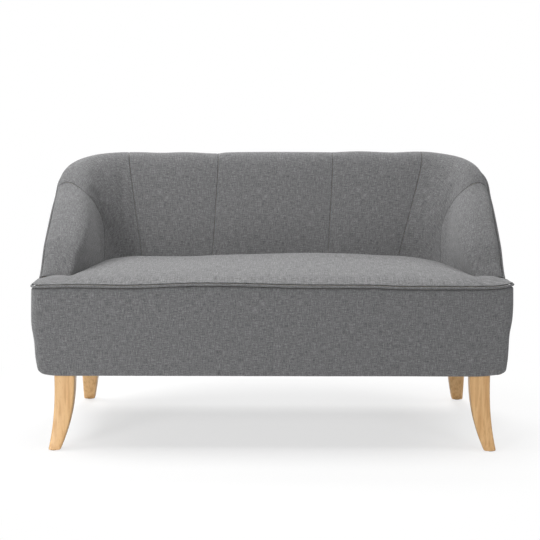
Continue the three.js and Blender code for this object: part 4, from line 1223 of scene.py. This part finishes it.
class SETTEE_OT_foams(Operator):
    """Makes the foam of the arms, back and seat, which the covers are stretched over"""

    bl_idname = "settee.foams"
    bl_label = "Foams"

    def execute(self, context):
        shell = Shell(sizes())
        # Cut polyurethane foam: pale cream, matt and full of fine open pores
        foam = shared("polyurethane_foam_cut", speckled, "#d9cfae", "#efe6c9", 1.5 * MM, 0.9, 0.6 * MM)
        pads = [(name, *self.upright(shell, start, end, count)) for name, start, end, count in UPRIGHT_FOAMS]
        for name, face, back in pads + [("seat_foam", *self.seat(shell))]:
            obj = closed_pad(name + "_pad", seen_from_front(shell, face), seen_from_front(shell, back))
            finish_piece(obj, foam, [name])
        return {"FINISHED"}

    def upright(self, shell, start, end, count):
        """The face and the back of the foam over a stretch of the arms and back."""
        joint, hollow_end = 0.002, 0.35
        w = np.linspace(start + joint, end - joint, count)[:, None]
        t = np.concatenate([np.linspace(0, 1, 9), np.linspace(1, 3, 30)[1:]])[None, :]
        w, t = np.broadcast_arrays(w, t)
        face = shell.face_point(w, t)
        sink = COVER + FOAM_CLEARANCE + shell.s.seam_depth
        # The foam is hollowed beside the piping, where the covers turn down
        hollow = (shell.groove_depth(w) + FOAM_HOLLOW) * (1 - unit(t / hollow_end))
        face = face + grid_normals(face) * (panel_puff(shell, w, t) - sink - hollow)[..., None]
        top = shell.rim(w) - shell.edge_gap(w)
        level = np.where(t <= 1, top, lerp(top, shell.foam_foot, (t - 1) / 2))
        edge_back = shell.set_in(w) + shell.groove_depth(w) + sink
        reach = lerp(edge_back, np.maximum(edge_back, shell.foam_back), unit(t))
        return face, shell.frame_point(w, level, -reach)

    def seat(self, shell):
        """The top and the underside of the seat's foam."""
        s = shell.s
        front_rows, rear_rows = [0, 0.005, 0.012, 0.02, 0.032, 0.045], [0.945, 0.96, 0.975, 0.988, 1]
        rows = np.concatenate([front_rows, np.linspace(0.06, 0.93, 20), rear_rows])
        front_gap = 2 * OUTER_COVER + SEAT_SETBACK
        x, y = seat_grid(shell, front_gap, seat_columns(FOAM_PITCH), rows)
        rise, gap, from_edge = seat_rise(shell, x, y)
        surface = s.seat_line + s.welt / 2 + CLEARANCE + rise - FOAM_CLEARANCE
        surface = surface - turned_in(gap, *FOAM_TUCK_FOLD)
        surface = surface - turned_in(from_edge - front_gap, *FOAM_EDGE_FOLD)
        base = np.full_like(x, shell.foam_foot)
        return np.stack([x, y, surface], -1), np.stack([x, y, base], -1)


class SETTEE_OT_linings(Operator):
    """Makes the hessian inside the frame, the felt over the springs and the dust cover underneath"""

    bl_idname = "settee.linings"
    bl_label = "Linings"

    def execute(self, context):
        shell = Shell(sizes())
        s = shell.s
        rail_back = shell.half_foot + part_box("inside_hessian")[0].x
        w = travel_at(shell, 0, ROUND, np.linspace(0, 1, 180))[:, None]
        top = shell.rim(w) - shell.edge_gap(w) - RIM_EASE
        z = lerp(shell.foam_foot, top, np.linspace(0, 1, 24)[None, :])
        points = shell.frame_point(np.broadcast_to(w, z.shape), z, -rail_back)
        hessian = grid_object("inside_hessian_woven", seen_from_front(shell, points))
        look_away(hessian, Vector(SEAT_MIDDLE))
        thicken(hessian, HESSIAN)
        # Jute hessian: loose brown threads with daylight between them
        jute = shared("jute_hessian", open_weave, "#b9a07a", "#6f5b3c", 2.4 * MM, 0.95)
        finish_piece(hessian, jute, ["inside_hessian"])

        low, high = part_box("seat_felt")
        x, y = even(low.x, high.x, LINING_PITCH), even(low.y, high.y, LINING_PITCH)
        plan = np.stack(np.meshgrid(x, y, indexing="ij"), -1)
        flat = np.concatenate([plan, np.full((len(x), len(y), 1), high.z)], -1)
        felt = grid_object("seat_felt_laid", flat, look_to=(0, 0, 5))
        thicken(felt, FELT)
        # Needled felt: mottled grey fibres pressed flat, quite matt
        wool = shared("needled_wool_felt", speckled, "#5f6164", "#8d8f92", 3 * MM, 0.95, 0.8 * MM)
        finish_piece(felt, wool, ["seat_felt"])

        low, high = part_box("dust_cover")
        w = travel_at(shell, 1, ROUND - 1, np.linspace(0, 1, 110))
        rear = shell.frame_point(w, low.z, -(s.hem_tuck + CLEARANCE))
        side = -rear[0, 0]
        # The cloth's front corners are cut off inside the border's rounded ones
        cut = side - s.ear_radius + shell.rail_face
        front = shell.rail_face + np.maximum(0, np.abs(rear[:, 0]) - cut)
        y = lerp(front[:, None], rear[:, 1:2], np.linspace(0, 1, 40)[None, :])
        x = np.broadcast_to(rear[:, :1], y.shape)
        across = np.cos(np.pi / 2 * x / side) ** 2
        along = np.sin(np.pi * (y - front[:, None]) / (rear[:, 1:2] - front[:, None])) ** 2
        level = high.z - DUST_SAG * across * along
        points = seen_from_front(shell, np.stack([x, y, level], -1))
        dust = grid_object("dust_cover_woven", points, look_to=(0, 0, 5))
        thicken(dust, DUST_COVER)
        # Black cambric: thin and dull, with a fine open weave
        cambric = shared("black_cambric", open_weave, "#2d2d31", "#17171a", 2 * MM, 0.9)
        finish_piece(dust, cambric, ["dust_cover"])
        return {"FINISHED"}


LEGS = (
    # name, side, inset from the border's side, setback, sideways kick, kick back
    ("front_left_leg", -1, 84, 47, 30, -26),
    ("front_right_leg", 1, 84, 47, 30, -26),
    ("rear_left_leg", -1, 95, 505, 14, 62),
    ("rear_right_leg", 1, 95, 505, 14, 62),
)


QUARTERS = np.array([(1, 1), (-1, 1), (-1, -1), (1, -1)])  # a leg's four corners, in turn


class SETTEE_OT_legs(Operator):
    """Makes the four swept and tapered legs, with softened edges"""

    bl_idname = "settee.legs"
    bl_label = "Legs"

    def execute(self, context):
        shell = Shell(sizes())
        s = shell.s
        beech = shared("lacquered_steamed_beech", lacquered_beech)
        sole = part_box("front_left_glide")[1].z + CLEARANCE
        t = np.concatenate([[0, 0.006], np.linspace(0.02, 0.98, 26), [0.988, 0.995, 1]])
        corner = np.linspace(0, np.pi / 2, 6)
        for name, side, inset, setback, kick, back in LEGS:
            top = np.array([side * (shell.half_border - inset * MM), setback * MM])
            foot = top + np.array([side * kick, back]) * MM
            middle = lerp(top, foot, t[:, None] ** LEG_SWEEP_SHARE)
            taper = t ** LEG_TAPER_SHARE
            # The last rings draw in, which softens the sole's edge
            last = 0.015
            ease = SOLE_EASE * unit((t - (1 - last)) / last) ** 2
            tops = np.array([s.leg_top_width, s.leg_top_depth])
            half = lerp(tops, s.leg_foot, taper[:, None]) / 2 - ease[:, None]
            ring = [
                side_of * (half - s.leg_round) + s.leg_round * np.array([math.cos(a), math.sin(a)])
                for quarter, side_of in enumerate(QUARTERS) for a in corner + quarter * np.pi / 2
            ]
            plan = middle + np.stack(ring + ring[:1])
            z = np.broadcast_to(lerp(s.underside, sole, t), plan.shape[:2])
            points = seen_from_front(shell, np.concatenate([plan, z[..., None]], -1))
            obj = grid_object(name + "_turned_out", points, wrap=True)
            look_out(obj)
            finish_piece(obj, beech, [name])
        return {"FINISHED"}


class SETTEE_OT_timber_and_springs(Operator):
    """Finishes the frame's own timber, springs and fixings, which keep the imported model's shapes"""

    bl_idname = "settee.timber_and_springs"
    bl_label = "Timber and springs"

    def execute(self, context):
        # Sawn and planed pine: pale yellow with broad soft rings, matt and a little fibrous
        pine = shared(
            "planed_pine", speckled, "#c49a63", "#e3c796", 9 * MM, 0.75, 0.3 * MM, None, (1, 1, 8),
        )
        # Cold-drawn steel with bright zinc plating: cool grey metal with a faint crystalline mottle
        zinc = shared(
            "zinc_plated_steel", speckled, "#a9adb3", "#c8ccd2", 3 * MM, 0.34, 0.05 * MM, {"Metallic": 1.0},
        )
        # Moulded nylon: milky off-white, slightly waxy
        nylon = shared(
            "moulded_nylon", speckled, "#bdb8ab", "#cfcabf", 2 * MM, 0.5, 0.05 * MM,
            {"IOR": 1.53, "Subsurface Weight": 0.05},
        )
        for name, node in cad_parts.items():
            metal = any(word in name for word in ("bolt", "spring"))
            finish = zinc if metal else nylon if "glide" in name else pine
            if not any(word in name for word in SOFT_WORDS):
                for slot in node.material_slots:
                    slot.link = "OBJECT"
                    slot.material = finish
        return {"FINISHED"}


class SETTEE_OT_stage(Operator):
    """Sets the pale floor and backdrop, the soft studio light and the camera at the photo's angle"""

    bl_idname = "settee.stage"
    bl_label = "Stage"

    def execute(self, context):
        scene = context.scene
        scene.view_settings.view_transform = "Standard"
        floor_mesh = bmesh.new()
        bmesh.ops.create_grid(floor_mesh, x_segments=4, y_segments=4, size=14)
        floor = new_object("studio_floor", floor_mesh)
        floor.data.materials.append(studio_floor())
        scene.world = studio_world()
        for name, place, target, size, power in LAMPS:
            data = bpy.data.lights.new(name, "AREA")
            data.shape = "RECTANGLE"
            data.size, data.size_y = size
            data.energy = power
            lamp = bpy.data.objects.new(name, data)
            lamp.location = place
            lamp.rotation_euler = (Vector(target) - Vector(place)).to_track_quat("-Z", "Y").to_euler()
            scene.collection.objects.link(lamp)
        data = bpy.data.cameras.new("photo_angle")
        data.lens, data.sensor_width = LENS, SENSOR
        camera = bpy.data.objects.new("photo_angle", data)
        camera.location = CAMERA_PLACE
        camera.rotation_euler = (math.radians(90 - CAMERA_DIP), 0, math.radians(CAMERA_TURN))
        scene.collection.objects.link(camera)
        scene.camera = camera
        return {"FINISHED"}


CAMERA_PLACE = (0.028, -4.2695, 1.202)
CAMERA_DIP = 10.01  # degrees below level
CAMERA_TURN = 0.48  # degrees to the left
LENS, SENSOR = 100, 36  # millimetres
FLOOR_BLEACH = 0.61  # how much of the floor under the object the camera sees as plain white
WORLD_LIGHT = 0.02  # strength of the plain light from all round
LAMPS = (
    # name, place, aimed at, size, watts
    ("left_overhead_softbox", (-1.6, -0.2, 2.7), (0, 0, 0.4), (1.2, 1.2), 57),
    ("right_overhead_softbox", (1.3, -0.2, 2.7), (0, 0, 0.4), (1.2, 1.2), 14),
    ("right_side_softbox", (2.2, -0.6, 2.2), (0, 0, 0.4), (1.2, 1.2), 11),
    ("left_front_softbox", (-2.4, -3.4, 1.8), (0, 0, 0.4), (1.2, 1.2), 50),
    ("right_front_softbox", (2.4, -3.4, 1.8), (0, 0, 0.4), (1.2, 1.2), 26),
    ("rear_overhead_softbox", (0, 1.6, 2.8), (0, 0, 0.4), (1.2, 1.2), 48),
    ("left_floor_bounce", (-1.6, -2.4, 0.1), (-0.3, 0, 0.2), (1.2, 0.6), 21),
    ("backdrop_bounce", (0, 4.2, 1.0), (0, 0, 0.1), (5.0, 2.0), 70),
)


def studio_floor():
    """Seamless painted floor: matt and pale, bleached towards the white backdrop as the camera sees it."""
    material = start_material("matt_studio_floor")
    place = add_node(material, "TexCoord").outputs["Object"]
    away = add_node(material, "VectorMath", {"operation": "LENGTH"}, None, {0: place})
    fade = add_node(
        material, "MapRange", {"interpolation_type": "SMOOTHSTEP"},
        {"From Min": 0.35, "From Max": 1.1, "To Min": FLOOR_BLEACH, "To Max": 1.0}, {"Value": away},
    )
    seen = add_node(material, "LightPath").outputs["Is Camera Ray"]
    shown = add_node(material, "Math", {"operation": "MULTIPLY"}, None, {0: fade, 1: seen})
    mottle = add_node(material, "TexNoise", None, {"Scale": 6.0, "Detail": 2.0}, {"Vector": place})
    tone = add_node(
        material, "Mix", {"data_type": "RGBA"},
        {6: opaque(linear("#e6e7e8")), 7: opaque(linear("#eaebec"))}, {0: mottle},
    )
    # The camera's exposure lifts the paint to white where it is fully lit
    tone = add_node(material, "Mix", {"data_type": "RGBA"}, {7: (1, 1, 1, 1)}, {0: seen, 6: tone})
    paint = add_node(
        material, "BsdfPrincipled", None,
        {"Roughness": 0.9, "Specular IOR Level": 0.1}, {"Base Color": tone},
    )
    white = add_node(material, "Emission", None, {"Color": (1, 1, 1, 1), "Strength": 1.0})
    both = add_node(material, "MixShader", None, None, {0: shown, 1: paint, 2: white})
    return finish_material(material, both)


def studio_world():
    """White as the camera and mirrors see it, and a plain soft light for the object."""
    world = bpy.data.worlds.new("studio_world")
    world.use_nodes = True
    world.node_tree.nodes.clear()
    seen = add_node(world, "LightPath").outputs
    shown = seen["Is Camera Ray"]
    for ray in ("Is Glossy Ray", "Is Transmission Ray"):
        shown = add_node(world, "Math", {"operation": "MAXIMUM"}, None, {0: shown, 1: seen[ray]})
    strength = add_node(world, "MapRange", None, {"To Min": WORLD_LIGHT, "To Max": 1.0}, {"Value": shown})
    light = add_node(world, "Background", None, {"Color": (1, 1, 1, 1)}, {"Strength": strength})
    add_node(world, "OutputWorld", links={"Surface": light})
    return world


STEPS = (
    SETTEE_OT_stage, SETTEE_OT_foams, SETTEE_OT_linings, SETTEE_OT_inside_covers, SETTEE_OT_seat_cover,
    SETTEE_OT_front_border, SETTEE_OT_outside_covers, SETTEE_OT_piping, SETTEE_OT_legs,
    SETTEE_OT_timber_and_springs,
)


class SETTEE_PT_panel(Panel):
    """Lists the settee's steps, sizes and colours"""

    bl_idname = "SETTEE_PT_panel"
    bl_label = "High Back Settee"
    bl_space_type = "VIEW_3D"
    bl_region_type = "UI"
    bl_category = "Settee"

    def draw(self, context):
        for step in STEPS:
            self.layout.operator(step.bl_idname)
        for group in (context.scene.settee_sizes, context.scene.settee_finish):
            box = self.layout.box()
            for name in group.__annotations__:
                box.prop(group, name)


CLASSES = (SetteeSizes, SetteeFinish, *STEPS, SETTEE_PT_panel)


def register():
    for item in CLASSES:
        bpy.utils.register_class(item)
    bpy.types.Scene.settee_sizes = PointerProperty(type=SetteeSizes)
    bpy.types.Scene.settee_finish = PointerProperty(type=SetteeFinish)


def unregister():
    del bpy.types.Scene.settee_finish
    del bpy.types.Scene.settee_sizes
    for item in reversed(CLASSES):
        bpy.utils.unregister_class(item)


def main():
    register()
    for step in STEPS:
        group, name = step.bl_idname.split(".")
        getattr(getattr(bpy.ops, group), name)()


if __name__ == "__main__":
    main()
